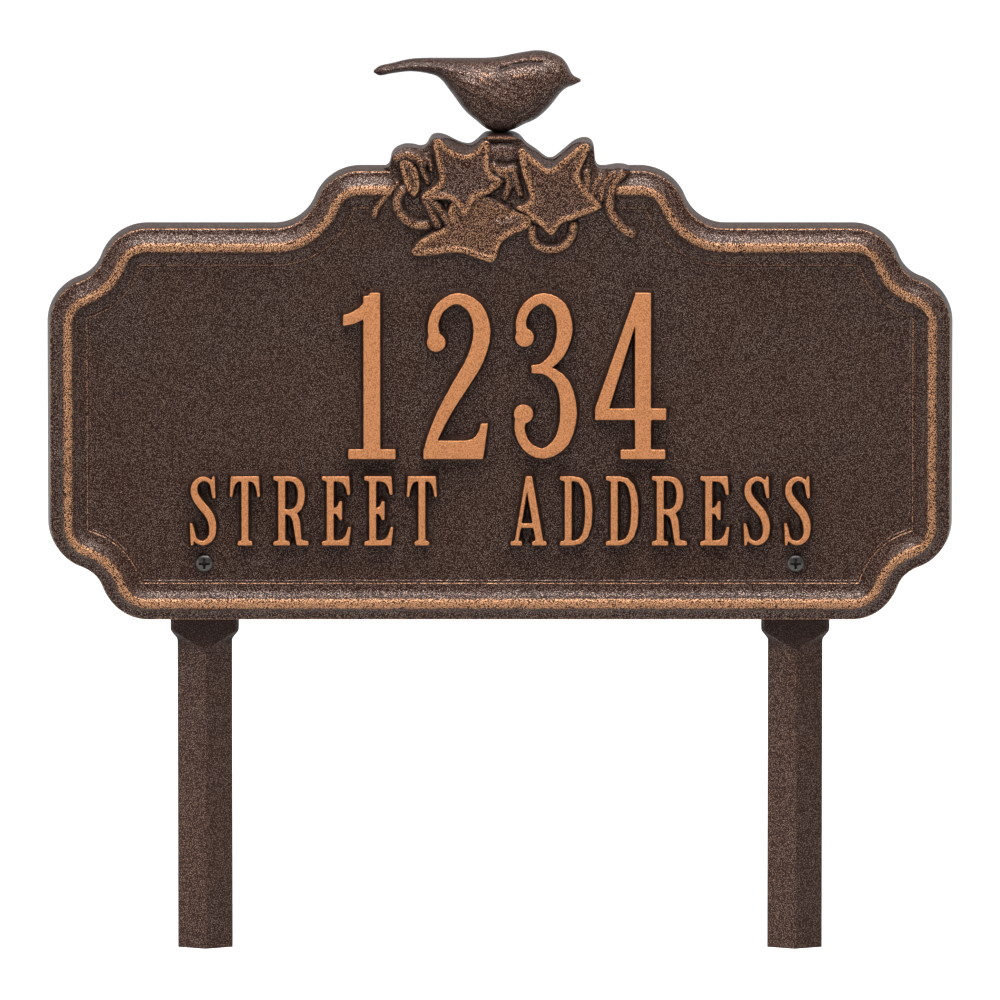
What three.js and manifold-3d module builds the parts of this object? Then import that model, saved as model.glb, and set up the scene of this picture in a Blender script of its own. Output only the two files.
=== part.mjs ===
// Lawn address plaque: a cast plate with a moulded rim, an ivy sprig and a bird, on two stakes.
// Millimetres, +Z up. The lettered face looks along -Y and X runs along the plate.
// The origin lies on the lawn midway between the stakes, in the plane of the plate's back.
// A depth is a distance in front of that plane, towards -Y.

import * as THREE from 'three';
import { mergeVertices } from 'three/addons/utils/BufferGeometryUtils.js';
import Module from 'manifold-3d';

const wasm = await Module();
wasm.setup();

// Plate outline, measured on the back plane
const plateWidth = 406.4;
const plateHeight = 181.4;
const lawnClearance = 152.6;
const archRise = 26.2;
const archFlat = 125;
const archFootRadius = 19.4;
const archHeadRadius = 22;
const scoopRadius = 16;
const scoopInset = 9.2;
const cornerRadius = 22.2;

// Plate section
const edgeDepth = 9.5;
const wallDraft = 1.2;
const fieldDrop = 0.3;
const fieldThickness = 5.8;
const backLand = 6;
const backDraft = 0.6;

// Rim moulding, measured inwards and forwards from the front edge
const edgeLand = 0.8;
const edgeRise = 0.3;
const beadInset = 7.7;
const beadWidth = 4.9;
const beadRise = 1.3;
const beadFillet = 0.6;
const crestRise = 4.3;
const rimWidth = 16.6;
const rimStepWidth = 0.5;

// Ivy, perch and bird
const ivyWidth = 115;
const birdLength = 92.8;
const ivyDraft = 1;
const ivyFoot = 6;
const upperLeafDepth = 14.6;
const lowerLeafDepth = 13.2;
const foldedLeafDepth = 13.8;
const tendrilRadius = 2.1;
const tendrilDepth = 10.4;
const perchRise = 15.2;
const perchWidth = 13.2;
const perchDepth = 12;
const perchRoot = 10;
const perchSwell = 1;
const perchDraft = 0.6;
const pegRadius = 3;
const pegLength = 9;
const pegOverlap = 5;
const pegClearance = 0.3;

// Characters
const digitHeight = 76.2;
const digitPitch = 39.1;
const letterHeight = 31.75;
const letterGap = 5.9;
const wordGap = 33;
const letterRise = 36.2;
const lineGap = 7.8;
const characterThickness = 5.5;
const characterDraft = 1.4;
const glueLine = 0.3;

// Stakes
const stakeInset = 70.3;
const stakeLength = 457;
const shaftWidth = 24.6;
const shaftSide = 5.5;
const ridgeRise = 4.2;
const ridgeFlat = 0.8;
const padWidth = 30.8;
const padThickness = 6;
const padChamfer = 1.5;
const padDrop = 6.2;
const padTop = 13;
const padTopChamfer = 6;
const padBackSlope = 4;
const neckLength = 4;
const veeLength = 4.5;
const tipLength = 70;
const tipWidth = 2;
const lugWidth = 2.5;
const lugHeight = 3;
const lugClearance = 0.3;

// Fasteners
const screwRise = 27.2;
const screwRadius = 2;
const screwHeadRadius = 4;
const screwHeadHeight = 2.6;
const screwPoint = 0.6;
const screwStandOut = 1.5;
const recessLength = 4.6;
const recessWidth = 0.95;
const recessDepth = 1.5;
const holeClearance = 0.3;
const washerRadius = 4.5;
const washerThickness = 0.8;
const springRadius = 3.8;
const springThickness = 1;
const springSlit = 0.7;
const springSlant = 0.35;
const nutAcrossFlats = 7;
const nutThickness = 3.2;
const seatGap = 0.2;

// Places worked out from the sizes above
const plateTop = lawnClearance + plateHeight;
const archTop = plateTop + archRise;
const fieldDepth = edgeDepth - fieldDrop;
const panDepth = fieldDepth - fieldThickness;
const perchTop = archTop + perchRise;
const stakeX = plateWidth / 2 - stakeInset;
const screwZ = lawnClearance + screwRise;
const stakeTop = screwZ + padTop;
const padBack = seatGap + padThickness;
const boreRadius = screwRadius + holeClearance;
const letterBase = lawnClearance + letterRise;
const digitBase = letterBase + letterHeight + lineGap;
const ivyScale = ivyWidth / 100;
const birdScale = birdLength / 100;
const reach = 4 * (plateWidth + plateHeight);

const bronze = { color: '#4a3934', roughness: 0.45, metalness: 0.5 };
const copper = { color: '#c98859', roughness: 0.42, metalness: 0.6 };
const blackSteel = { color: '#2d2c2e', roughness: 0.4, metalness: 0.8 };
const brightSteel = { color: '#a9abad', roughness: 0.35, metalness: 0.9 };

const plaque = new THREE.Group();

// A closed geometry as a solid that can be joined and cut
function solid(geometry) {
  const bare = geometry.clone();
  bare.deleteAttribute('normal');
  bare.deleteAttribute('uv');
  const merged = mergeVertices(bare);
  const mesh = new wasm.Mesh({
    numProp: 3,
    vertProperties: Float32Array.from(merged.attributes.position.array),
    triVerts: Uint32Array.from(merged.index.array),
  });
  return new wasm.Manifold(mesh);
}

function geometryOf(manifold) {
  const mesh = manifold.getMesh();
  const geometry = new THREE.BufferGeometry();
  geometry.setAttribute('position', new THREE.Float32BufferAttribute(mesh.vertProperties, 3));
  geometry.setIndex(Array.from(mesh.triVerts));
  return geometry;
}

function join(solids) {
  return solids.reduce((whole, next) => whole.add(next));
}

function addPiece(name, geometry, finish, place = [0, 0, 0]) {
  const mesh = new THREE.Mesh(geometry, new THREE.MeshStandardMaterial(finish));
  mesh.name = name;
  mesh.position.set(...place);
  plaque.add(mesh);
}

// A closed skin over rings of points that all run the same way round, with a flat cap at each end
function loft(rings, flatten) {
  const count = rings[0].length;
  const positions = rings.flat().flatMap((point) => point.toArray());
  const index = [];
  for (let r = 0; r + 1 < rings.length; r++) {
    for (let i = 0; i < count; i++) {
      const a = r * count + i;
      const b = r * count + (i + 1) % count;
      index.push(a, b, b + count, a, b + count, a + count);
    }
  }
  const last = (rings.length - 1) * count;
  for (const [a, b, c] of THREE.ShapeUtils.triangulateShape(rings[0].map(flatten), [])) {
    index.push(c, b, a);
  }
  for (const [a, b, c] of THREE.ShapeUtils.triangulateShape(rings.at(-1).map(flatten), [])) {
    index.push(last + a, last + b, last + c);
  }
  const geometry = new THREE.BufferGeometry();
  geometry.setAttribute('position', new THREE.Float32BufferAttribute(positions, 3));
  geometry.setIndex(index);
  return geometry;
}

// A straight-sided cylinder along Y, between two depths
function boreAlongY(radius, x, z, backDepth, frontDepth) {
  const geometry = new THREE.CylinderGeometry(radius, radius, frontDepth - backDepth, 20);
  geometry.translate(x, -(backDepth + frontDepth) / 2, z);
  return solid(geometry);
}

// A box between two depths, centred on x and z
function block(width, height, x, z, backDepth, frontDepth) {
  const geometry = new THREE.BoxGeometry(width, frontDepth - backDepth, height);
  geometry.translate(x, -(backDepth + frontDepth) / 2, z);
  return solid(geometry);
}

// A flat outline from a list of corners: two numbers are a straight run to a point,
// four a curve with one handle and six a curve with two
function outline(corners, scale = 1) {
  const shape = new THREE.Shape();
  corners.forEach((corner, i) => {
    const values = corner.map((value) => value * scale);
    if (i === 0) shape.moveTo(...values);
    else if (values.length === 2) shape.lineTo(...values);
    else if (values.length === 4) shape.quadraticCurveTo(...values);
    else shape.bezierCurveTo(...values);
  });
  return shape;
}

// Cast relief with sides that spread towards the foot.
// The shape, drawn in X and Z, is the outline of its face, or of its foot where that is asked for.
function raised(shapes, foot, face, spread, curveSegments, drawnAtFoot = false) {
  const bodies = shapes.map((shape) => {
    const geometry = new THREE.ExtrudeGeometry(shape, {
      depth: 1,
      bevelThickness: face - foot,
      bevelSize: spread,
      bevelOffset: drawnAtFoot ? -spread : 0,
      bevelSegments: 1,
      curveSegments,
    });
    geometry.translate(0, 0, foot - 1);
    geometry.rotateX(Math.PI / 2);
    return solid(geometry);
  });
  return join(bodies).subtract(block(reach, reach, 0, 0, foot - reach, foot));
}

// Plate outline: points of tangent arcs, each with its outward direction
function arc(x, z, radius, from, to, bulge) {
  const steps = Math.max(3, Math.ceil(Math.abs(to - from) / 0.24));
  return Array.from({ length: steps + 1 }, (_, i) => {
    const angle = from + (to - from) * i / steps;
    const out = new THREE.Vector2(Math.cos(angle), Math.sin(angle));
    const point = new THREE.Vector2(x, z).addScaledVector(out, radius);
    return { point, out: out.multiplyScalar(bulge) };
  });
}

// Upper right corner from the side to the shoulder: round, scooped, round
function cornerArcs() {
  const right = plateWidth / 2;
  const span = scoopRadius + cornerRadius;
  const offset = cornerRadius - scoopInset;
  const tangent = scoopInset + Math.sqrt(span ** 2 - offset ** 2);
  const lean = Math.atan2(tangent - scoopInset, offset);
  const quarter = Math.PI / 2;
  return [
    ...arc(right - cornerRadius, plateTop - tangent, cornerRadius, 0, lean, 1),
    ...arc(right - scoopInset, plateTop - scoopInset, scoopRadius,
      Math.PI + lean, Math.PI + quarter - lean, -1),
    ...arc(right - tangent, plateTop - cornerRadius, cornerRadius, quarter - lean, quarter, 1),
  ];
}

// Right side of the arch from the shoulder to the level top
function archArcs() {
  const radii = archFootRadius + archHeadRadius;
  const turn = Math.acos(1 - archRise / radii);
  const run = radii * Math.sin(turn);
  const quarter = Math.PI / 2;
  return [
    ...arc(archFlat / 2 + run, plateTop + archFootRadius, archFootRadius,
      -quarter, -quarter - turn, -1),
    ...arc(archFlat / 2, archTop - archHeadRadius, archHeadRadius, quarter - turn, quarter, 1),
  ];
}

// The whole outline, anticlockwise as the reader sees it
function platePath() {
  const upper = cornerArcs();
  const middle = lawnClearance + plateHeight / 2;
  const flip = ({ point, out }) => ({
    point: new THREE.Vector2(point.x, 2 * middle - point.y),
    out: new THREE.Vector2(out.x, -out.y),
  });
  const mirror = ({ point, out }) => ({
    point: new THREE.Vector2(-point.x, point.y),
    out: new THREE.Vector2(-out.x, out.y),
  });
  const right = [...upper.map(flip).reverse(), ...upper, ...archArcs()];
  const all = [...right, ...right.map(mirror).reverse()];
  return all.filter(({ point }, i) => point.distanceTo(all.at(i - 1).point) > 0.01);
}

function sweep(steps, curve) {
  return Array.from({ length: steps }, (_, i) => curve((i + 1) / steps * Math.PI / 2));
}

// Rim section from the front edge to the field, as pairs of inset and depth
function rimSection() {
  const filletRise = crestRise - beadRise;
  const beadStart = beadInset - beadWidth / 2;
  const beadEnd = beadInset + beadWidth / 2;
  const hollowEnd = beadStart - beadFillet;
  const hollow = sweep(3, (t) => [
    edgeLand + (hollowEnd - edgeLand) * Math.sin(t),
    edgeRise + (filletRise - edgeRise) * (1 - Math.cos(t)),
  ]);
  const bead = sweep(4, (t) => [
    beadInset - beadWidth / 2 * Math.cos(2 * t),
    filletRise + beadRise * Math.sin(2 * t),
  ]);
  const cove = sweep(3, (t) => [
    beadEnd + (rimWidth - beadEnd) * (1 - Math.cos(t)),
    edgeRise + (filletRise - edgeRise) * (1 - Math.sin(t)),
  ]);
  const section = [
    [0, 0],
    [edgeLand, edgeRise],
    ...hollow,
    [beadStart, filletRise],
    ...bead,
    ...cove,
    [rimWidth + rimStepWidth, -fieldDrop],
  ];
  return section.map(([inset, rise]) => [wallDraft + inset, edgeDepth + rise]);
}

function plateBody() {
  const path = platePath();
  const section = [
    [backLand + backDraft, panDepth],
    [backLand, 0],
    [0, 0],
    ...rimSection(),
  ];
  const rings = section.map(([inset, depth]) => path.map(({ point, out }) => {
    const moved = point.clone().addScaledVector(out, -inset);
    return new THREE.Vector3(moved.x, -depth, moved.y);
  }));
  return solid(loft(rings, (point) => new THREE.Vector2(point.x, point.z)));
}

// Ivy, drawn from the middle of the arch's top in hundredths of the sprig's width

// A lobed leaf: straight from tip to tip, drawn in by a curve through each hollow between them
function lobedLeaf(tips, hollows) {
  const corners = [tips[0]];
  tips.forEach((tip, i) => {
    const next = tips[(i + 1) % tips.length];
    const handle = [0, 1].map((k) => 2 * hollows[i][k] - (tip[k] + next[k]) / 2);
    corners.push([...handle, ...next]);
  });
  return outline(corners, ivyScale);
}

// A closed curve through its points
function roundOutline(points) {
  const loop = points.map(([x, z]) => new THREE.Vector3(x, z, 0).multiplyScalar(ivyScale));
  const curve = new THREE.CatmullRomCurve3(loop, true);
  const steps = 3 * points.length;
  const flat = curve.getPoints(steps).slice(0, steps);
  return new THREE.Shape(flat.map(({ x, y }) => new THREE.Vector2(x, y)));
}

function ivyLeaves() {
  const left = lobedLeaf(
    [[-25.2, 12.7], [-4.8, 11.6], [0.8, -4.9], [-13.4, -18.8], [-30.8, -10.7]],
    [[-13.3, 6.3], [-4, 0.2], [-8.8, -10.7], [-19, -12], [-23.6, -4]],
  );
  const right = lobedLeaf(
    [[7.4, 8.2], [34.4, 10.7], [39, -14.4], [20.2, -25.6], [6.3, -15.2]],
    [[19.2, 0.7], [31.3, -3], [24.4, -20.9], [13.6, -20.6], [11.2, -10.4]],
  );
  const lower = lobedLeaf(
    [[-34.3, -32.9], [-3.5, -36.8], [12.2, -20.4], [-15, -10.4], [-20.8, -21.8]],
    [[-17, -33], [1, -29], [-1, -13.6], [-19.8, -15.5], [-27.8, -26]],
  );
  const folded = roundOutline([
    [-41, 5.4], [-37.3, 7.1], [-32.3, 5.7], [-29.5, 3], [-28.3, -2.2],
    [-30.1, -8.5], [-33.4, -10.3], [-37, -5.4], [-39.7, 0.3],
  ]);
  return [
    [[left, right], upperLeafDepth],
    [[lower], lowerLeafDepth],
    [[folded], foldedLeafDepth],
  ];
}

// Plate metal that carries the leaves where they stand above the arch
function ivyBacking() {
  return roundOutline([
    [-45.4, -2.6], [-43.1, 1.6], [-42, 5.4], [-39.3, 7.8], [-35.4, 8.6], [-31.4, 7.9], [-28.4, 9],
    [-26.4, 12.1], [-23, 12.6], [-17.8, 10.4], [-12.5, 8.7], [-8.6, 10.8], [-5.2, 13.3], [5.2, 13.3],
    [8.4, 11.4], [14.3, 6.3], [19.2, 3.1], [24.8, 6.5], [30.7, 10.7], [34.7, 10.7], [36.6, 7.4], [37.2, 1.9],
    [40.4, -0.1], [45.6, 0.7], [50.2, -0.2], [49, -6], [17.4, -12.2], [-26.1, -12.2],
  ]);
}

// Twining stems, each a round bar that lies along its points
const stems = [
  [[-38.1, -8], [-40.2, -13.8], [-37.2, -19.6], [-31.6, -22.3], [-28.6, -22]],
  [[-40.1, -5.2], [-46.3, -12.6], [-49.1, -18]],
  [[-29.1, -12.4], [-26.9, -16.8], [-24.4, -22]],
  [[-26.8, -12], [-22.5, -17.2], [-19.7, -22.4]],
  [[-9.6, -11.2], [-3.4, -12.6], [3, -15.8]],
  [[0.2, -1.2], [3.3, -3.9], [1.8, -10.9]],
  [[5.3, -0.1], [6.4, -5.2], [7.8, -9.9]],
  [[47.9, -1.2], [43.4, -8], [42.6, -12.5], [45, -20], [51.3, -25.4]],
  [[33.8, -1], [33.8, -7.4]],
  [[38.9, -2.8], [36.9, -6.4], [36.4, -9.4]],
  [[44.4, -1.6], [40.4, -5.8], [39.1, -11.4]],
  [[12.6, -23.4], [14, -29.8], [19.2, -32], [25.1, -30.2], [28.6, -22]],
];

function stemBody(points) {
  const lie = points.map(([x, z]) => (
    new THREE.Vector3(x * ivyScale, -tendrilDepth, archTop + z * ivyScale)
  ));
  const path = new THREE.CatmullRomCurve3(lie);
  const ring = new THREE.Shape();
  ring.absarc(0, 0, tendrilRadius, 0, 2 * Math.PI);
  return solid(new THREE.ExtrudeGeometry(ring, {
    steps: 3 * (points.length - 1),
    curveSegments: 4,
    extrudePath: path,
  }));
}

function ivyBody() {
  const leaves = ivyLeaves().map(([shapes, depth]) => raised(shapes, ivyFoot, depth, ivyDraft, 4));
  const backing = raised([ivyBacking()], 0, edgeDepth, wallDraft, 1, true);
  const half = perchWidth / 2;
  const perch = outline([
    [-half, perchRise], [half, perchRise],
    [half + perchSwell, perchRise / 2], [half, -perchRoot],
    [-half, -perchRoot], [-half - perchSwell, perchRise / 2],
  ]);
  const drawn = [...leaves, backing, raised([perch], 0, perchDepth, perchDraft, 1, true)];
  const placed = drawn.map((body) => body.translate(0, 0, archTop));
  return join([...placed, ...stems.map(stemBody)]);
}

// Seat behind the plate for a stake's pad, between two lugs that keep the stake from turning
function stakeSeat(x) {
  const low = lawnClearance + backLand / 2;
  const high = stakeTop - padTopChamfer;
  const middle = (low + high) / 2;
  const lugOffset = (padWidth + lugWidth) / 2 + lugClearance;
  const lug = (side) => block(lugWidth, high - low, x + side * lugOffset, middle, -lugHeight, panDepth + 1);
  const boss = block(padWidth + 2 * lugWidth, high - low + padTopChamfer, x, middle + padTopChamfer / 2,
    0, panDepth + 1);
  return join([boss, lug(-1), lug(1)]);
}

function pegSocket() {
  const depth = pegLength + pegClearance;
  const geometry = new THREE.CylinderGeometry(
    pegRadius + pegClearance, pegRadius + pegClearance, 2 * depth, 20,
  );
  geometry.rotateX(Math.PI / 2);
  geometry.translate(0, -perchDepth / 2, perchTop);
  return solid(geometry);
}

function castingBody() {
  const bores = [-stakeX, stakeX].map((x) => boreAlongY(boreRadius, x, screwZ, -1, 2 * edgeDepth));
  const whole = join([plateBody(), ivyBody(), stakeSeat(-stakeX), stakeSeat(stakeX)]);
  return whole.subtract(join([...bores, pegSocket()]));
}

// Bird: upright slices along its length, each a flat back and a bulging front.
// A slice is its place along X, its lowest and highest point above the perch, and its bulge,
// in hundredths of the bird's length.
const birdSlices = [
  [-61, 29, 30.1, 1.7],
  [-57.9, 27.6, 32.3, 3.7],
  [-52, 28.7, 33.7, 4.5],
  [-43.3, 29.7, 35.7, 5.4],
  [-34.6, 28.7, 36.2, 6.9],
  [-28.9, 26.3, 36.2, 8.6],
  [-23.1, 19, 36.2, 12.3],
  [-17.2, 11, 36.2, 14.9],
  [-11.4, 5.8, 36.2, 16.4],
  [-5.8, 1.5, 36.3, 17.2],
  [0.2, 0.4, 36.9, 17.2],
  [6, 1.3, 38.1, 16.8],
  [11.9, 4.1, 39.2, 16.2],
  [17.7, 6.9, 39.9, 15.3],
  [23.5, 12.1, 39.2, 13.8],
  [29.3, 19.4, 36.6, 11.2],
  [32.3, 21.8, 33.2, 8.6],
  [35.1, 22.8, 28, 4.7],
  [39, 24.6, 25.6, 1.7],
];

function birdBody() {
  const sides = birdSlices.map(([x, low, high]) => (
    new THREE.Vector3(x, low, high).multiplyScalar(birdScale)
  ));
  const bulges = birdSlices.map(([x, , , bulge]) => (
    new THREE.Vector3(x, bulge, 0).multiplyScalar(birdScale)
  ));
  const sideCurve = new THREE.CatmullRomCurve3(sides);
  const bulgeCurve = new THREE.CatmullRomCurve3(bulges);
  const slices = 30;
  const rim = 9;
  const rings = Array.from({ length: slices + 1 }, (_, s) => {
    const { x, y: low, z: high } = sideCurve.getPoint(s / slices);
    const bulge = bulgeCurve.getPoint(s / slices).y;
    return Array.from({ length: rim + 1 }, (_, i) => {
      const turn = Math.PI * i / rim;
      const z = perchTop + seatGap + (low + high) / 2 + (high - low) / 2 * Math.cos(turn);
      return new THREE.Vector3(x, -bulge * Math.sin(turn) ** 0.8, z);
    });
  });
  const peg = new THREE.CylinderGeometry(pegRadius, pegRadius, pegLength + pegOverlap, 20);
  peg.rotateX(Math.PI / 2);
  peg.translate(0, -perchDepth / 2, perchTop + (pegOverlap - pegLength) / 2);
  return solid(loft(rings, (point) => new THREE.Vector2(point.y, point.z))).add(solid(peg));
}

// Characters: a condensed slab-serif face, drawn in shares of the character's height

// A pen stroke along a curve; each point is its place and the pen's width there
function stroke(points) {
  const spine = new THREE.SplineCurve(points.map(([x, z]) => new THREE.Vector2(x, z)));
  const steps = 3 * (points.length - 1);
  const near = [];
  const far = [];
  for (let i = 0; i <= steps; i++) {
    const place = i / steps * (points.length - 1);
    const at = Math.min(Math.floor(place), points.length - 2);
    const width = THREE.MathUtils.lerp(points[at][2], points[at + 1][2], place - at);
    const centre = spine.getPoint(i / steps);
    const along = spine.getTangent(i / steps);
    near.push([centre.x - along.y * width / 2, centre.y + along.x * width / 2]);
    far.unshift([centre.x + along.y * width / 2, centre.y - along.x * width / 2]);
  }
  return { edge: [...near, ...far] };
}

function bar(left, low, right, high) {
  return { edge: [[left, low], [right, low], [right, high], [left, high]] };
}

function ball(x, z, radius) {
  const sides = 16;
  const edge = Array.from({ length: sides }, (_, i) => {
    const angle = 2 * Math.PI * i / sides;
    return [x + radius * Math.cos(angle), z + radius * Math.sin(angle)];
  });
  return { edge };
}

const stemWithFeet = [[0, 1], [0, 0.945], [0.07, 0.925], [0.07, 0.075], [0, 0.055]];

const glyphs = {
  1: {
    width: 0.31,
    marks: [
      bar(0.03, 0, 0.31, 0.06),
      bar(0.12, 0, 0.22, 0.98),
      { edge: [[0.22, 1], [0.16, 1], [0.11, 0.885, 0, 0.865], [0, 0.8], [0.07, 0.805, 0.12, 0.84],
        [0.22, 0.84]] },
    ],
  },
  2: {
    width: 0.39,
    marks: [
      stroke([[0.07, 0.72, 0.075], [0.058, 0.81, 0.062], [0.1, 0.91, 0.06], [0.2, 0.965, 0.066],
        [0.305, 0.905, 0.09], [0.346, 0.765, 0.102], [0.306, 0.6, 0.1], [0.215, 0.44, 0.092],
        [0.12, 0.275, 0.078], [0.045, 0.1, 0.062], [0.035, 0.03, 0.06]]),
      ball(0.076, 0.7, 0.056),
      { edge: [[0, 0], [0.352, 0], [0.382, 0.215], [0.338, 0.215], [0.325, 0.115, 0.25, 0.112],
        [0.06, 0.112], [0, 0.06]] },
    ],
  },
  3: {
    width: 0.4,
    marks: [
      stroke([[0.085, 0.735, 0.075], [0.066, 0.82, 0.06], [0.105, 0.915, 0.06], [0.195, 0.966, 0.064],
        [0.292, 0.91, 0.088], [0.325, 0.775, 0.094], [0.285, 0.635, 0.075], [0.2, 0.553, 0.055],
        [0.13, 0.54, 0.05]]),
      stroke([[0.13, 0.54, 0.05], [0.22, 0.532, 0.055], [0.315, 0.45, 0.082], [0.348, 0.28, 0.1],
        [0.308, 0.11, 0.09], [0.2, 0.034, 0.064], [0.1, 0.08, 0.06], [0.058, 0.185, 0.06],
        [0.078, 0.265, 0.075]]),
      ball(0.088, 0.73, 0.056),
      ball(0.082, 0.272, 0.058),
    ],
  },
  4: {
    width: 0.42,
    marks: [
      bar(0.235, 0, 0.33, 1),
      bar(0.15, 0, 0.415, 0.058),
      bar(0, 0.235, 0.42, 0.305),
      { edge: [[0, 0.235], [0.07, 0.26], [0.235, 0.8], [0.33, 1], [0.24, 1], [0, 0.305]] },
    ],
  },
  A: {
    width: 0.51,
    marks: [
      { edge: [[0, 0], [0.165, 0], [0.165, 0.055], [0.115, 0.07], [0.147, 0.255], [0.322, 0.255],
        [0.355, 0.07], [0.305, 0.055], [0.305, 0], [0.51, 0], [0.51, 0.055], [0.463, 0.07],
        [0.305, 1], [0.215, 1], [0.06, 0.07], [0, 0.055]],
      counter: [[0.158, 0.32], [0.233, 0.776], [0.311, 0.32]] },
    ],
  },
  D: {
    width: 0.465,
    marks: [
      { edge: [[0, 0], [0.2, 0], [0.38, 0, 0.465, 0.16, 0.465, 0.5], [0.465, 0.84, 0.38, 1, 0.2, 1],
        ...stemWithFeet],
      counter: [[0.17, 0.07], [0.17, 0.93], [0.2, 0.93], [0.31, 0.93, 0.36, 0.8, 0.36, 0.5],
        [0.36, 0.2, 0.31, 0.07, 0.2, 0.07]] },
    ],
  },
  E: {
    width: 0.415,
    marks: [
      { edge: [[0, 0], [0.385, 0], [0.415, 0.27], [0.37, 0.27], [0.345, 0.085, 0.24, 0.075],
        [0.17, 0.075], [0.17, 0.465], [0.23, 0.455, 0.245, 0.37], [0.29, 0.37], [0.29, 0.64],
        [0.245, 0.64], [0.23, 0.545, 0.17, 0.54], [0.17, 0.925], [0.23, 0.925],
        [0.345, 0.915, 0.36, 0.73], [0.405, 0.73], [0.39, 1], ...stemWithFeet] },
    ],
  },
  R: {
    width: 0.5,
    marks: [
      { edge: [[0, 0], [0.235, 0], [0.235, 0.055], [0.17, 0.075], [0.17, 0.45], [0.25, 0.45],
        [0.39, 0.45, 0.45, 0.56, 0.45, 0.725], [0.45, 0.89, 0.39, 1, 0.25, 1], ...stemWithFeet],
      counter: [[0.17, 0.52], [0.17, 0.93], [0.235, 0.93], [0.31, 0.93, 0.35, 0.85, 0.35, 0.725],
        [0.35, 0.6, 0.31, 0.52, 0.235, 0.52]] },
      { edge: [[0.2, 0.5], [0.3, 0.5], [0.375, 0.44, 0.385, 0.3], [0.4, 0.08], [0.5, 0.06], [0.5, 0],
        [0.33, 0], [0.285, 0.28], [0.27, 0.43, 0.2, 0.45]] },
    ],
  },
  S: {
    width: 0.39,
    marks: [
      stroke([[0.345, 0.74, 0.05], [0.315, 0.9, 0.056], [0.205, 0.966, 0.066], [0.09, 0.89, 0.086],
        [0.078, 0.74, 0.104], [0.165, 0.595, 0.118], [0.275, 0.46, 0.118], [0.332, 0.3, 0.108],
        [0.315, 0.12, 0.09], [0.205, 0.034, 0.066], [0.085, 0.09, 0.056], [0.045, 0.26, 0.05]]),
      { edge: [[0.33, 1], [0.366, 1], [0.376, 0.68], [0.335, 0.68], [0.3, 0.86]] },
      { edge: [[0.055, 0], [0.022, 0], [0.01, 0.32], [0.05, 0.32], [0.09, 0.14]] },
    ],
  },
  T: {
    width: 0.43,
    marks: [
      { edge: [[0.11, 0], [0.32, 0], [0.32, 0.055], [0.265, 0.075], [0.265, 0.925], [0.295, 0.925],
        [0.375, 0.915, 0.39, 0.7], [0.43, 0.7], [0.415, 1], [0.015, 1], [0, 0.7], [0.04, 0.7],
        [0.055, 0.915, 0.135, 0.925], [0.165, 0.925], [0.165, 0.075], [0.11, 0.055]] },
    ],
  },
};

function characterBody(sign, height) {
  const shapes = glyphs[sign].marks.map(({ edge, counter }) => {
    const shape = outline(edge, height);
    if (counter) shape.holes.push(outline(counter, height));
    return shape;
  });
  return geometryOf(raised(shapes, 0, characterThickness, characterDraft, 4));
}

function addCharacter(sign, name, height, x, base) {
  const place = [x, -(fieldDepth + glueLine), base];
  addPiece(name, characterBody(sign, height), copper, place);
}

function addDigits(number) {
  const first = -digitPitch * (number.length - 1) / 2;
  [...number].forEach((sign, i) => {
    const x = first + digitPitch * i - glyphs[sign].width * digitHeight / 2;
    addCharacter(sign, `digit_${i + 1}`, digitHeight, x, digitBase);
  });
}

function addLetters(words) {
  const signs = [...words];
  const step = (sign) => (sign === ' ' ? wordGap - letterGap : glyphs[sign].width * letterHeight + letterGap);
  const length = signs.reduce((sum, sign) => sum + step(sign), -letterGap);
  let x = -length / 2;
  let count = 0;
  for (const sign of signs) {
    if (sign !== ' ') {
      count += 1;
      addCharacter(sign, `letter_${count}`, letterHeight, x, letterBase);
    }
    x += step(sign);
  }
}

// Stakes: level sections from the point up to the pad behind the plate
function stakeSection(z, width, flat, front, shoulder, back) {
  const half = width / 2;
  return [
    [half, shoulder], [half, back], [-half, back], [-half, shoulder], [-flat / 2, front], [flat / 2, front],
  ].map(([x, y]) => new THREE.Vector3(x, y, z));
}

function stakeBody(x) {
  const front = seatGap;
  const shoulder = front + ridgeRise;
  const back = shoulder + shaftSide;
  const padFoot = lawnClearance - padDrop;
  const neck = padFoot - neckLength;
  const vee = neck - veeLength;
  const point = stakeTop - stakeLength;
  const padFlat = padWidth - 2 * padChamfer;
  const topWidth = padWidth - 2 * padTopChamfer;
  const veeFlat = ridgeFlat + (padFlat - ridgeFlat) * veeLength / (veeLength + neckLength);
  const padEdge = front + padChamfer;
  const rings = [
    stakeSection(point, tipWidth, ridgeFlat, back - tipWidth, back - tipWidth / 2, back),
    stakeSection(point + tipLength, shaftWidth, ridgeFlat, front, shoulder, back),
    stakeSection(vee, shaftWidth, ridgeFlat, front, shoulder, back),
    stakeSection(neck, shaftWidth, veeFlat, front, (shoulder + padEdge) / 2, back),
    stakeSection(padFoot, padWidth, padFlat, front, padEdge, back),
    stakeSection(padFoot + padBackSlope, padWidth, padFlat, front, padEdge, padBack),
    stakeSection(stakeTop - padTopChamfer, padWidth, padFlat, front, padEdge, padBack),
    stakeSection(stakeTop, topWidth, topWidth - 2 * padChamfer, front, padEdge, padBack),
  ];
  const body = solid(loft(rings, (at) => new THREE.Vector2(at.x, at.y)));
  const bore = boreAlongY(boreRadius, 0, screwZ, -2 * padBack, 1);
  return geometryOf(body.subtract(bore).translate(x, 0, 0));
}

// Fasteners, each turned about its own Y axis with its seat at y = 0 and its back towards +Y

function turned(profile, sides) {
  const geometry = new THREE.LatheGeometry(profile.map(([r, y]) => new THREE.Vector2(r, y)), sides);
  return solid(geometry);
}

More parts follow.
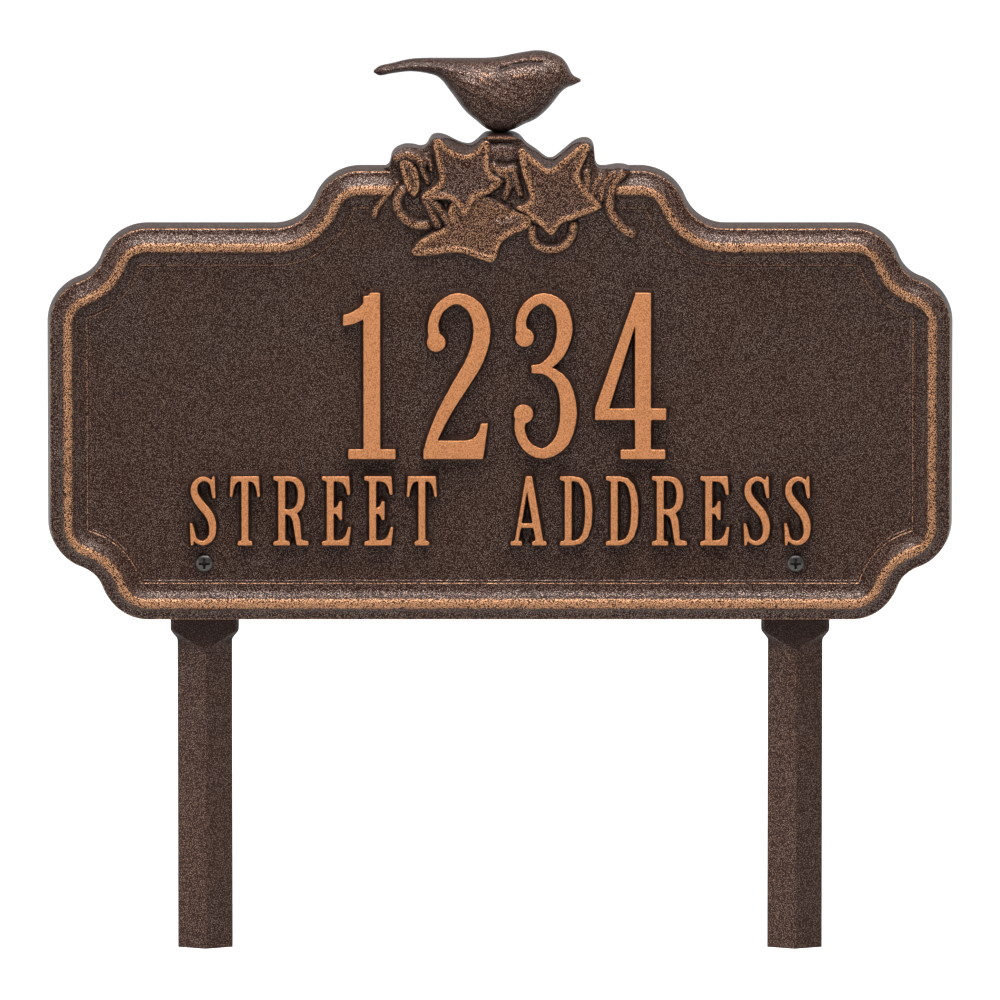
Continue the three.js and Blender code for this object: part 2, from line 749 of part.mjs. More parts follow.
function screwBody(length) {
  const head = screwHeadHeight;
  const body = turned([
    [0, -head], [0.55 * screwHeadRadius, -0.97 * head], [0.85 * screwHeadRadius, -0.8 * head],
    [screwHeadRadius, -0.45 * head], [screwHeadRadius, 0], [screwRadius, 0],
    [screwRadius, length - screwPoint], [screwRadius - screwPoint, length], [0, length],
  ], 24);
  const slot = (width, height) => block(width, height, 0, 0, head - recessDepth, head + 1);
  const recess = slot(recessLength, recessWidth).add(slot(recessWidth, recessLength));
  return geometryOf(body.subtract(recess));
}

function ringBody(inner, outer, thickness) {
  return turned([[inner, 0], [outer, 0], [outer, thickness], [inner, thickness], [inner, 0]], 28);
}

function springWasherBody() {
  const slit = new THREE.BoxGeometry(springSlit, 3 * springThickness, 2 * springRadius);
  slit.rotateZ(springSlant);
  slit.translate(0, springThickness / 2, springRadius);
  return geometryOf(ringBody(boreRadius, springRadius, springThickness).subtract(solid(slit)));
}

function nutBody() {
  const corner = nutAcrossFlats / Math.sqrt(3);
  const hexagon = new THREE.CylinderGeometry(corner, corner, nutThickness, 6);
  hexagon.translate(0, nutThickness / 2, 0);
  const bore = new THREE.CylinderGeometry(boreRadius, boreRadius, 4 * nutThickness, 20);
  return geometryOf(solid(hexagon).subtract(solid(bore)));
}

function addFasteners(side, x) {
  const washerY = padBack + seatGap;
  const springY = washerY + washerThickness + seatGap;
  const nutY = springY + springThickness + seatGap;
  const seatY = -(fieldDepth + seatGap);
  const screwLength = nutY + nutThickness + screwStandOut - seatY;
  addPiece(`${side}_screw`, screwBody(screwLength), blackSteel, [x, seatY, screwZ]);
  const washer = geometryOf(ringBody(boreRadius, washerRadius, washerThickness));
  addPiece(`${side}_flat_washer`, washer, brightSteel, [x, washerY, screwZ]);
  addPiece(`${side}_lock_washer`, springWasherBody(), brightSteel, [x, springY, screwZ]);
  addPiece(`${side}_nut`, nutBody(), brightSteel, [x, nutY, screwZ]);
}

addPiece('plaque_casting', geometryOf(castingBody()), bronze);
addPiece('bird_finial', geometryOf(birdBody()), bronze);
addDigits('1234');
addLetters('STREET ADDRESS');
for (const [side, x] of [['left', -stakeX], ['right', stakeX]]) {
  addPiece(`${side}_stake`, stakeBody(x), bronze);
  addFasteners(side, x);
}

export default plaque;
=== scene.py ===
"""Lawn plaque: fine surfaces, finishes and a studio for a cast plate on two stakes."""

import math

import bmesh
import bpy
import numpy as np
from bpy.props import FloatProperty, FloatVectorProperty, PointerProperty
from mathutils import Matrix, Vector
from mathutils.geometry import tessellate_polygon


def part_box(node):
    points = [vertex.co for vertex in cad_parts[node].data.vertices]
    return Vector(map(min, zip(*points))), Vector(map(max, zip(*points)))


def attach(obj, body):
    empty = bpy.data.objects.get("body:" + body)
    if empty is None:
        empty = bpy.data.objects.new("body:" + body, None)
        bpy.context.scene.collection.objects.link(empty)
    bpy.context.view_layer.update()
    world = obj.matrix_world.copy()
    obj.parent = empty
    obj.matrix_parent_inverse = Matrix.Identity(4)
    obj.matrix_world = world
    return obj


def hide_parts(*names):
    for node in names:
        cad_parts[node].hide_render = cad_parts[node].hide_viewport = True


bl_info = {
    "name": "Lawn Plaque",
    "version": (1, 0, 0),
    "blender": (4, 5, 0),
    "location": "3D View > Sidebar > Plaque",
    "description": "Builds the fine surfaces, finishes and studio of a cast lawn plaque",
    "category": "Object",
}

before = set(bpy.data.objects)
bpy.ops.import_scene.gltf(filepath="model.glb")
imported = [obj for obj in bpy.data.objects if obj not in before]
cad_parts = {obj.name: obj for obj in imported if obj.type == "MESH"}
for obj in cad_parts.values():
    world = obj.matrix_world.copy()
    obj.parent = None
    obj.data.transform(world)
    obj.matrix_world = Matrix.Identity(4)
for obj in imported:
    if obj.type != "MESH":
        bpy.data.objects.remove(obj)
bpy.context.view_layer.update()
MM = 0.001
# The camera: height of the picture's middle, width it takes in at the plate, angle of its look down
AIM_HEIGHT = 0.2067
PICTURE_WIDTH = 0.4496
LOOK_DOWN = math.radians(11.5)


def linear(code):
    """An sRGB hex code as a linear colour with full alpha."""
    share = np.array([int(code[i:i + 2], 16) for i in (1, 3, 5)]) / 255
    value = np.where(share <= 0.04045, share / 12.92, ((share + 0.055) / 1.055) ** 2.4)
    return (*value.tolist(), 1.0)


def length(name, mm, about):
    """A length property whose default is given in millimetres."""
    return FloatProperty(
        name=name, description=about, default=mm * MM, min=0.0, precision=5,
        unit='LENGTH', subtype='DISTANCE',
    )


def angle(name, degrees, about):
    """An angle property whose default is given in degrees."""
    return FloatProperty(
        name=name, description=about, default=math.radians(degrees), min=0.0, max=math.pi / 2,
        unit='ROTATION', subtype='ANGLE',
    )


def colour(name, code, about):
    """A colour property whose default is given as an sRGB hex code."""
    return FloatVectorProperty(
        name=name, description=about, default=linear(code), size=4, min=0.0, max=1.0,
        subtype='COLOR',
    )


class PlateSizes(bpy.types.PropertyGroup):
    """Outline and thickness of the cast plate. A depth is measured forwards from its back."""

    width: length("Width", 406.4, "Plate from side to side")
    height: length("Height", 181.4, "Plate from its foot to its shoulders")
    clearance: length("Clearance", 152.6, "Height of the plate's foot above the lawn")
    arch_rise: length("Arch rise", 26.2, "Height of the arch above the shoulders")
    arch_flat: length("Arch flat", 125, "Level run on top of the arch")
    arch_foot: length("Arch foot radius", 19.4, "Hollow curve where the arch leaves the shoulder")
    arch_head: length("Arch head radius", 22, "Round curve at each end of the arch's top")
    scoop_radius: length("Scoop radius", 16, "Hollow bite at each corner")
    scoop_inset: length("Scoop inset", 9.2, "Centre of the bite, in from both sides")
    corner_radius: length("Corner radius", 22.2, "Round on both sides of a bite")
    edge_depth: length("Edge depth", 9.5, "Depth of the outer wall")
    wall_draft: length("Wall draft", 1.2, "Lean of the outer wall over its depth")
    field_depth: length("Field depth", 9.2, "Depth of the flat field's face")
    pan_depth: length("Pan depth", 3.4, "Depth of the hollow behind the field")
    back_land: length("Back land", 6, "Flat border round the hollow behind")

    @property
    def top(self):
        """Height of the shoulders above the lawn."""
        return self.clearance + self.height

    @property
    def arch_top(self):
        """Height of the arch above the lawn."""
        return self.top + self.arch_rise


class RimSizes(bpy.types.PropertyGroup):
    """Moulding round the plate, measured inwards and forwards from its front edge."""

    land: length("Edge land", 0.8, "Narrow lip at the front edge")
    land_rise: length("Edge rise", 0.6, "Rise of the lip, and of the ledge round the field")
    bead_inset: length("Bead inset", 8, "Middle of the bead")
    bead_width: length("Bead width", 5.6, "Bead from side to side")
    foot_slope: angle("Foot slope", 8, "Slope at the outer end of the hollow")
    side_slope: angle("Side slope", 54, "Slope on both sides of the bead")
    bead_slope: angle("Bead slope", 58, "Slope at which the bead starts")
    width: length("Width", 16.6, "Whole moulding")
    step: length("Step", 0.35, "Run of each of the two steps down to the field")


class IvySizes(bpy.types.PropertyGroup):
    """Ivy sprig and perch on the arch."""

    width: length("Width", 115, "Sprig from tip to tip")
    drop: length("Drop", 44, "Reach of the sprig below the arch's top")
    left_depth: length("Left leaf depth", 14.6, "Border of the left leaf")
    right_depth: length("Right leaf depth", 14.6, "Border of the right leaf")
    lower_depth: length("Lower leaf depth", 13, "Border of the leaf below them")
    folded_depth: length("Folded leaf depth", 13.6, "Border of the small folded leaf")
    bead_width: length("Leaf bead width", 3, "Rolled border of a leaf")
    bead_rise: length("Leaf bead rise", 0.7, "Border above the leaf's face")
    swell: length("Leaf swell", 0.5, "Middle of a leaf's face above its border")
    swell_reach: length("Swell reach", 7, "Distance from the outline at which a face is full")
    leaf_blend: length("Leaf blend", 0.6, "Rounding where a leaf meets what lies under it")
    stem_blend: length("Stem blend", 0.8, "Rounding where a stem or the ground meets what lies under it")
    side_slope: FloatProperty(
        name="Side slope", description="Fall of a leaf's sides over their spread", default=4, min=0.0,
    )
    edge_round: length("Edge round", 0.4, "Rounded edge at the skyline")
    perch_rise: length("Perch rise", 15.2, "Top of the perch above the arch")
    left_stop: length("Left stop", 47, "End of the rim's moulding, left of the middle")
    right_stop: length("Right stop", 51, "End of the rim's moulding, right of the middle")
    stop_fade: length("Stop fade", 6, "Run over which the moulding fades out under the sprig")
    grid: length("Grid", 0.4, "Distance between the points of the surface")


class BirdSizes(bpy.types.PropertyGroup):
    """Bird on the perch."""

    length: length("Length", 92.8, "Bird from tail to beak")
    wing_step: length("Wing step", 1.1, "Wing above the belly along its lower edge")
    crease: length("Crease", 1.3, "Depth of the fold between wing and back")
    line: length("Line", 0.9, "Half width of folds, ridges and the eye")


class CharacterSizes(bpy.types.PropertyGroup):
    """Raised digits and letters."""

    edge_round: length("Edge round", 0.5, "Round between a face and its sides")
    corner_round: length("Corner round", 0.4, "Softening of the corners of an outline")
    draft: length("Draft", 1.4, "Spread of the sides towards the field")


class StakeSizes(bpy.types.PropertyGroup):
    """Stakes that carry the plate."""

    width: length("Width", 24.6, "Shaft from side to side")
    ridge_flat: length("Ridge flat", 0.8, "Narrow flat along the ridge")
    ridge_rise: length("Ridge rise", 4.2, "Ridge in front of the shaft's sides")
    pad_width: length("Pad width", 30.8, "Flat pad behind the plate")
    pad_chamfer: length("Pad chamfer", 1.5, "Bevel round the pad")
    pad_drop: length("Pad drop", 6.2, "Run of the pad below the plate's foot")
    pad_top: length("Pad top chamfer", 6, "Cut corners at the top of the pad")
    pad_thickness: length("Pad thickness", 6, "Pad from front to back")
    pad_slope: length("Pad slope", 4, "Run over which the back thins to the pad")
    neck: length("Neck", 4, "Run over which the shaft widens to the pad")
    vee: length("Vee", 4.5, "Run of the vee where ridge and pad meet")
    tip: length("Tip", 70, "Run over which the shaft narrows to its point")
    tip_width: length("Tip width", 2, "Blunt point")
    edge_round: length("Edge round", 0.6, "Softened edges")
    soften: length("Softening", 1.1, "Reach of the rounding along the stake")
    seat_round: length("Seat round", 0.4, "Rounded edges of the bosses and lugs")
    lug_width: length("Lug width", 2.5, "Lug on each side of a pad")
    lug_rise: length("Lug rise", 3, "Lug behind the plate's back")
    lug_gap: length("Lug gap", 0.3, "Clearance between lug and pad")


class FastenerSizes(bpy.types.PropertyGroup):
    """Screws, washers and nuts."""

    shank_radius: length("Shank radius", 2, "Half the thread's outer diameter")
    thread_pitch: length("Thread pitch", 0.7, "Distance from thread to thread")
    thread_depth: length("Thread depth", 0.4, "Depth of the thread")
    recess_reach: length("Recess reach", 2.5, "Arm of the cross recess from the middle")
    recess_width: length("Recess width", 0.95, "Width of an arm")
    recess_depth: length("Recess depth", 1.5, "Depth at the middle")
    recess_core: length("Recess core", 1.45, "Half diagonal of the wide middle")
    head_height: length("Head height", 2.6, "Screw head from its face to its seat")
    bevel: length("Bevel", 0.15, "Bevel on a flat washer")
    sink: length("Countersink", 0.35, "Widening of a nut's bore at both faces")
    sink_depth: length("Countersink depth", 0.3, "Depth of that widening")
    bore_radius: length("Bore radius", 2.3, "Hole in a washer")
    slit: length("Slit", 0.7, "Cut through a lock washer")


class PlaqueColours(bpy.types.PropertyGroup):
    """Colours of the finishes."""

    bronze: colour("Bronze", "#210F09", "Coat on the casting")
    # Painted shade: the dark colour the coats are drawn towards where the rub is below 0
    painted_shade: colour("Wash", "#180B07", "Dark wash in its hollows")
    fleck: colour("Bronze fleck", "#BBA498", "Metal flakes in the coat")
    stake_fleck: colour("Stake fleck", "#A28C84", "Metal flakes in the coat of the stakes")
    rubbed: colour("Rubbed copper", "#4E2813", "Metallic rub on the low grains of what stands proud")
    sheen: colour("Copper sheen", "#AC805F", "Metallic rub on the high grains")
    copper: colour("Copper", "#8A5938", "Faces of the characters")
    copper_light: colour("Copper grain", "#A9734D", "Lighter grains in the faces of the characters")
    stake: colour("Stake", "#2B1B15", "Coat on the stakes")
    screw: colour("Screw", "#4E4B49", "Blackened screws")
    zinc: colour("Zinc", "#A9ABAD", "Plated washers and nuts")
    floor: colour("Floor", "#DCDCDC", "Studio floor as it lights the object")
    shadow: colour("Floor shade", "#A0A0A0", "Part of the floor's white that a shadow takes away")


# The sprig, from the middle of the arch's top in hundredths of its width. First its skyline
SKYLINE = [
    (-52, -1.6), (-46.6, -1.6), (-45, -0.3), (-43.4, 0.8), (-42.7, 2.6), (-42.2, 5), (-41, 6.7),
    (-39.3, 7.8), (-37.3, 8.5), (-35.4, 8.6), (-33.4, 8.4), (-31.4, 7.9), (-29.6, 8.1), (-28.4, 9),
    (-27.4, 10.9), (-26.4, 12.1), (-24.9, 12.7), (-23, 12.6), (-20.7, 11.9), (-17.8, 10.4), (-15, 9.2),
    (-12.5, 8.7), (-10.6, 9.2), (-8.6, 10.8), (-6.4, 12.8), (-4.5, 13.5), (0, 13.7), (4.5, 13.5),
    (6.8, 12.7), (8.4, 11.4), (9.6, 9.9), (11, 8.6), (14.3, 6.3), (16.6, 4.4), (18.3, 3.3), (19.8, 3.1),
    (21.4, 3.7), (24.8, 6.5), (28.2, 9.4), (30.7, 10.7), (32.8, 11.1), (34.7, 10.7), (36, 9.4),
    (36.6, 7.4), (36.9, 4.3), (37.2, 1.9), (38.2, 0.3), (40.4, -0.1), (42.8, 0.3), (45.6, 0.7),
    (48.4, 0.5), (50.2, -0.2), (51.6, -1.4), (54, -1.6),
]
# Leaves: which depth each has, rub of its face and outline
LEAVES = [
    ("lower_depth", 0.4, [
        (-34.5, -32.5), (-33.6, -30.6), (-30.3, -27.4), (-25.6, -24.8), (-21.6, -23), (-20.3, -20.4),
        (-20.3, -17), (-19, -13.2), (-15, -10), (-10, -10.4), (-4.9, -11.6), (-2.2, -13), (0.6, -14.4),
        (4.6, -16.1), (9.2, -17.4), (11.9, -18.9), (12.2, -21), (10.6, -23.2), (5.1, -25.9), (1.6, -28),
        (-0.1, -30.8), (-1.1, -34.3), (-2.4, -36.5), (-4.6, -36.8), (-9.6, -34.9), (-15.2, -33.1),
        (-20, -33.1), (-26.5, -34.1), (-31.7, -34.3), (-33.9, -33.7),
    ]),
    ("folded_depth", 0.3, [
        (-39.1, 2.9), (-37.7, 4), (-35.8, 3.8), (-33.8, 2.4), (-32.4, 0.1), (-31.6, -2.9), (-31.3, -6.1),
        (-31.9, -8.9), (-33.3, -10.5), (-35, -9.5), (-36.6, -6.9), (-37.8, -3.7), (-38.7, -0.1),
    ]),
    ("left_depth", 0.2, [
        (-26.3, 10.3), (-26, 12), (-24.7, 12.8), (-23.1, 12.4), (-20.9, 9.9), (-18.4, 7.9), (-15.4, 6.6),
        (-13.3, 6.3), (-11.2, 7), (-8.8, 8.9), (-6.9, 11), (-5.3, 11.8), (-4.2, 11), (-3.9, 9), (-4.3, 4.3),
        (-4.1, 0.7), (-2.8, -1.5), (0.6, -3.8), (0.8, -5.1), (-1.4, -7.3), (-5, -9.6), (-8.4, -10.5),
        (-10.1, -12.2), (-11.9, -16.5), (-13.2, -18.8), (-14.4, -18.4), (-16, -15.3), (-18, -12.8),
        (-20.4, -11.6), (-25.6, -11.4), (-29.7, -11.5), (-30.8, -10.5), (-29.5, -8.9), (-25.2, -5.9),
        (-23.6, -3.8), (-23.9, -1.2), (-25, 4.1),
    ]),
    ("right_depth", 0.27, [
        (7, 7.2), (7.7, 8.5), (9.3, 8.5), (12.3, 5.7), (16.2, 2.5), (18.4, 0.8), (20.2, 0.9), (22.9, 2.9),
        (27.6, 7.1), (31, 10), (33.2, 10.8), (34.7, 10.2), (35, 8.4), (33.5, 4.7), (31.7, 0.9), (31.2, -2.2),
        (32.4, -5.8), (36.3, -10.4), (39.1, -13.5), (38.9, -15.3), (33.8, -17.5), (28, -19.8), (24.6, -20.8),
        (22.6, -23), (21, -25.2), (19.2, -25.6), (17.2, -23.6), (15, -21.4), (12.8, -20.3), (11.3, -18),
        (8, -16.1), (6.2, -15.2), (6.6, -14.3), (9.3, -13.7), (11.2, -11.8), (11.2, -8.8), (8.7, -1.1),
    ]),
]
# Stems and bark as round bars: half thickness and depth in millimetres at both ends, rub and path
STEMS = [
    (1.38, 2.3, 12.8, 9.9, 0.7, [
        (-40.1, -5.2), (-43.2, -9), (-46.3, -12.6), (-48.2, -15.6), (-49.1, -18),
    ]),
    (2.53, 2.76, 12.2, 9.8, 0.7, [
        (-38.1, -8), (-39.8, -10.6), (-40.2, -13.8), (-39.2, -17), (-37.2, -19.6), (-34.5, -21.4),
        (-31.6, -22.3), (-28.6, -22),
    ]),
    (2.07, 2.07, 11.8, 11.2, 0.65, [
        (-29.1, -12.4), (-27.6, -15.2), (-26, -18.4), (-24.4, -22),
    ]),
    (1.84, 1.84, 12.2, 11.8, 0.65, [
        (-26.8, -12), (-24.4, -14.4), (-22.5, -17.2), (-20.9, -20), (-19.7, -22.4),
    ]),
    (2.53, 2.99, 12, 9.8, 0.7, [
        (47.9, -1.2), (45.2, -4), (43.4, -8), (42.6, -12.5), (43.2, -16.6), (45, -20), (47.2, -22.8),
        (49.5, -24.8), (51.3, -25.4),
    ]),
    (2.3, 1.955, 12.2, 11.4, 0.65, [
        (33.8, -1), (34, -3.8), (33.8, -7.4),
    ]),
    (2.53, 2.07, 12.4, 11.2, 0.65, [
        (38.9, -2.8), (37.5, -4.6), (36.8, -7), (36.4, -9.4),
    ]),
    (2.645, 2.07, 12.4, 10.8, 0.65, [
        (44.4, -1.6), (42, -3.2), (40.4, -5.8), (39.5, -8.6), (39.1, -11.4),
    ]),
    (2.53, 2.53, 10, 10, 0.75, [
        (12.6, -23.4), (12.6, -27.2), (14, -29.8), (16.3, -31.4), (19.2, -32), (22.3, -31.6),
        (25.1, -30.2), (27.3, -27.8), (28.4, -25), (28.6, -22),
    ]),
    (2.185, 2.76, 12, 11.8, 0.65, [
        (-40.8, 4.4), (-39.3, 5.4), (-36.9, 6), (-34.6, 5.8), (-32.3, 4.7), (-30.3, 3),
    ]),
    (1.725, 1.265, 12, 11.6, 0.6, [
        (-31, 3.2), (-30.5, 0.6), (-29.3, -2.4), (-28, -5),
    ]),
    (1.495, 1.265, 11.8, 11.2, 0.6, [
        (-28.3, 4.6), (-27.2, 2.6), (-26.8, 0),
    ]),
    (1.035, 0.805, 13.2, 13, 0.6, [
        (-36.4, 1.6), (-34.4, -0.8), (-33.4, -4.4), (-33.2, -8),
    ]),
    (2.3, 1.955, 11.8, 10.8, 0.6, [
        (0.2, -1.2), (2.5, -2.3), (3.5, -4.8), (2.9, -8), (1.8, -10.9),
    ]),
    (1.955, 1.725, 11.6, 10.6, 0.6, [
        (5.3, -0.1), (5.9, -3.2), (6.8, -6.7), (7.8, -9.9),
    ]),
    (1.15, 1.15, 12.6, 12.6, 0.7, [
        (-5.5, 12.7), (0, 12.8), (6.5, 12.6),
    ]),
    (5.29, 5.29, 8.2, 8.2, 0.35, [
        (-2.6, 6.6), (0.2, 6.8), (3.8, 6.4),
    ]),
    (2.415, 2.415, 11.4, 11.4, 0.65, [
        (-2.7, 1.3), (0.6, -0.3), (5.2, 0.3),
    ]),
    (1.84, 1.495, 12.2, 11.7, 0.6, [
        (-9.6, -11.2), (-6.6, -11.4), (-3.4, -12.6), (0, -14.4), (3, -15.8),
    ]),
    (1.265, 1.15, 12.7, 12.5, 0.6, [
        (-1.2, -20.7), (1.4, -21.9), (4.1, -20.8), (7.2, -19),
    ]),
]
# Hollows pressed into the finished relief: place, half width and half height, and fall in millimetres
DIPS = [
    (4.2, -17.4, 2.6, 1.4, 2.2),
]
# Ground between the leaves: its depth in millimetres and its outline
MOUNDS = [
    (10, [
        (-44, 3), (-42, 8), (-36, 10), (-28, 10), (-24, 6), (-23, -6), (-29, -11), (-35, -11),
        (-39, -7), (-42, -2),
    ]),
    (10, [
        (-6, 15), (8, 14.5), (12, 8), (13, -10), (8, -14), (0, -13), (-5, -10), (-6, 4),
    ]),
    (11, [
        (-6.2, 15), (7, 15), (6.6, 6), (5.4, 0.6), (0, -1), (-4, 2),
    ]),
    (10.2, [
        (31, 7), (37, 7), (38, 2), (49, 2), (47, -3), (42, -9), (38, -12), (35, -11), (31, -5),
    ]),
]

# The bird in hundredths of its length: place along it, lowest and highest point above the perch, bulge
BIRD_SLICES = [
    (-61, 29, 30.1, 1.7), (-57.9, 27.6, 32.3, 3.7), (-52, 28.7, 33.7, 4.5), (-43.3, 29.7, 35.7, 5.4),
    (-34.6, 28.7, 36.2, 6.9), (-28.9, 26.3, 36.2, 8.6), (-23.1, 19, 36.2, 12.3), (-17.2, 11, 36.2, 14.9),
    (-11.4, 5.8, 36.2, 16.4), (-5.8, 1.5, 36.3, 17.2), (0.2, 0.4, 36.9, 17.2), (6, 1.3, 38.1, 16.8),
    (11.9, 4.1, 39.2, 16.2), (17.7, 6.9, 39.9, 15.3), (23.5, 12.1, 39.2, 13.8), (29.3, 19.4, 36.6, 11.2),
    (32.3, 21.8, 33.2, 8.6), (35.1, 22.8, 28, 4.7), (39, 24.6, 25.6, 1.7),
]
# Lines on the bird, where its wing starts and ends, and its swells: place and both half widths
WING_EDGE = [(-30, 31), (-21.6, 26), (-10.5, 20), (-1.2, 15.6), (7.3, 13.3), (12.8, 14.1), (17.6, 17.5)]
WING_CREASE = [(0.8, 32.6), (6, 34.4), (12.8, 35.6), (19.8, 35.6)]
TAIL_RIDGE = [(-56, 30.6), (-42, 33), (-29, 32.9), (-17.2, 31.2)]
BIRD_EYE = [(28.2, 31.2), (28.4, 31.2)]
WING_RUN = [(-26, -16), (15, 19)]
WING_NOTCH = [(-0.7, 33.6), (0.6, 30), (1.7, 26.7)]
WING_LOBES = [(-8.5, 29.1, 6.3, 3.6), (10.9, 30.6, 8.5, 3.4)]


def ease(value, low, high):
    """Rises smoothly from 0 at low to 1 at high."""
    share = np.clip((value - low) / (high - low), 0, 1)
    return share * share * (3 - 2 * share)


def ridge(distance, reach):
    """A bell that is 1 on a line and fades over its reach."""
    return np.exp(-(distance / reach) ** 2)


def spline(points, count, closed=False):
    """Points along a Catmull-Rom curve: in each span, a cubic through its ends whose slopes follow
    the chords of the points on both sides."""
    knots = np.asarray(points, float)
    if closed:
        knots = np.vstack([knots[-1:], knots, knots[:2]])
    else:
        knots = np.vstack([2 * knots[0] - knots[1], knots, 2 * knots[-1] - knots[-2]])
    spans = len(knots) - 3
    place = np.linspace(0, spans, count, endpoint=not closed)
    span = np.minimum(place.astype(int), spans - 1)
    t = (place - span)[:, None]
    a, b, c, d = (knots[span + k] for k in range(4))
    return b + 0.5 * t * (c - a + t * (2 * a - 5 * b + 4 * c - d + t * (3 * b - 3 * c + d - a)))


def even_loop(loop, step, blur):
    """A closed outline at equal steps along its length, with its corners softened by a Gaussian blur."""
    ring = np.vstack([loop, loop[:1]])
    run = np.append(0, np.cumsum(np.linalg.norm(np.diff(ring, axis=0), axis=1)))
    count = max(24, int(run[-1] / step))
    at = np.linspace(0, run[-1], count, endpoint=False)
    even = np.stack([np.interp(at, run, ring[:, k]) for k in (0, 1)], axis=1)
    wave = np.fft.fftfreq(count, run[-1] / count)
    soft = np.exp(-2 * (math.pi * wave * blur) ** 2)
    return np.fft.ifft(np.fft.fft(even, axis=0) * soft[:, None], axis=0).real


def outward(loop):
    """Unit directions away from the inside of an outline that runs with its inside to the left."""
    along = np.roll(loop, -1, axis=0) - np.roll(loop, 1, axis=0)
    out = np.stack([along[:, 1], -along[:, 0]], axis=1)
    return out / np.linalg.norm(out, axis=1, keepdims=True)


def distance_to(points, line):
    """Shortest distance from each point to a run of straight pieces."""
    line = np.asarray(line, float)
    start, along = line[:-1], np.diff(line, axis=0)
    offset = points[..., None, :] - start
    share = np.clip(np.sum(offset * along, axis=-1) / np.sum(along ** 2, axis=-1), 0, 1)
    return np.linalg.norm(offset - share[..., None] * along, axis=-1).min(axis=-1)


def grid_faces(rows, columns, first=0):
    """Quads between neighbouring rows of points, each row a closed ring."""
    row, column = np.meshgrid(np.arange(rows - 1), np.arange(columns), indexing="ij")
    a = first + row * columns + column
    b = first + row * columns + (column + 1) % columns
    return np.stack([a, b, b + columns, a + columns], axis=-1).reshape(-1, 4).tolist()


def capped(rows, columns):
    """Quads between closed rings, and a flat face on the first and the last of them."""
    last = (rows - 1) * columns
    return grid_faces(rows, columns) + [list(range(columns))[::-1], list(range(last, last + columns))]


def add_piece(name, points, faces, material, slot, rub=None, crease=40):
    """Adds a closed mesh with its place in its points, smooth but for edges sharper than the crease.
    The rub attribute says how much of the copper rub a point carries, and below 0 how much painted shade
    darkens it; in places it also stands for painted light."""
    old = bpy.data.objects.get(name)
    if old:
        bpy.data.objects.remove(old)
    points = np.asarray(points, float).reshape(-1, 3)
    mesh = bpy.data.meshes.new(name)
    mesh.from_pydata(points.tolist(), [], faces)
    if mesh.validate():
        raise ValueError(f"{name} has faces that don't hold together")
    shell = bmesh.new()
    shell.from_mesh(mesh)
    bmesh.ops.recalc_face_normals(shell, faces=shell.faces)
    shell.to_mesh(mesh)
    shell.free()
    share = np.zeros(len(points)) if rub is None else np.clip(np.ravel(rub), -1, 1)
    mesh.attributes.new("rub", 'FLOAT', 'POINT').data.foreach_set("value", share)
    mesh.shade_smooth()
    mesh.set_sharp_from_angle(angle=math.radians(crease))
    mesh.materials.append(material)
    piece = bpy.data.objects.new(name, mesh)
    bpy.context.scene.collection.objects.link(piece)
    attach(piece, "root")
    return piece


def standing(flat, depth):
    """Points drawn in X and Z, set at a depth in front of the plate's back."""
    depth = np.broadcast_to(depth, flat.shape[:-1])
    return np.stack([flat[..., 0], -depth, flat[..., 1]], axis=-1)


def add_node(tree, kind, inputs=None, **settings):
    """Adds a shader node with its settings, and sets or links its inputs."""
    node = tree.nodes.new(kind)
    for key, value in settings.items():
        setattr(node, key, value)
    for key, value in (inputs or {}).items():
        if isinstance(value, bpy.types.NodeSocket):
            tree.links.new(value, node.inputs[key])
        else:
            node.inputs[key].default_value = value
    return node


def new_material(name):
    """An empty node material, its tree and its output node."""
    material = bpy.data.materials.get(name) or bpy.data.materials.new(name)
    material.use_nodes = True
    tree = material.node_tree
    tree.nodes.clear()
    return material, tree, add_node(tree, "ShaderNodeOutputMaterial")


def seen_rays(tree):
    """1 for what the camera sees, straight, in a reflection or through glass, and 0 for other light."""
    path = add_node(tree, "ShaderNodeLightPath").outputs
    seen = add_node(tree, "ShaderNodeMath", {
        0: path["Is Camera Ray"], 1: path["Is Glossy Ray"],
    }, operation='MAXIMUM').outputs[0]
    return add_node(tree, "ShaderNodeMath", {
        0: seen, 1: path["Is Transmission Ray"],
    }, operation='MAXIMUM').outputs[0]


# Sand grains and metal flakes of the coats, drawn a little coarser than they are so that they show
GRAIN = 0.5 * MM


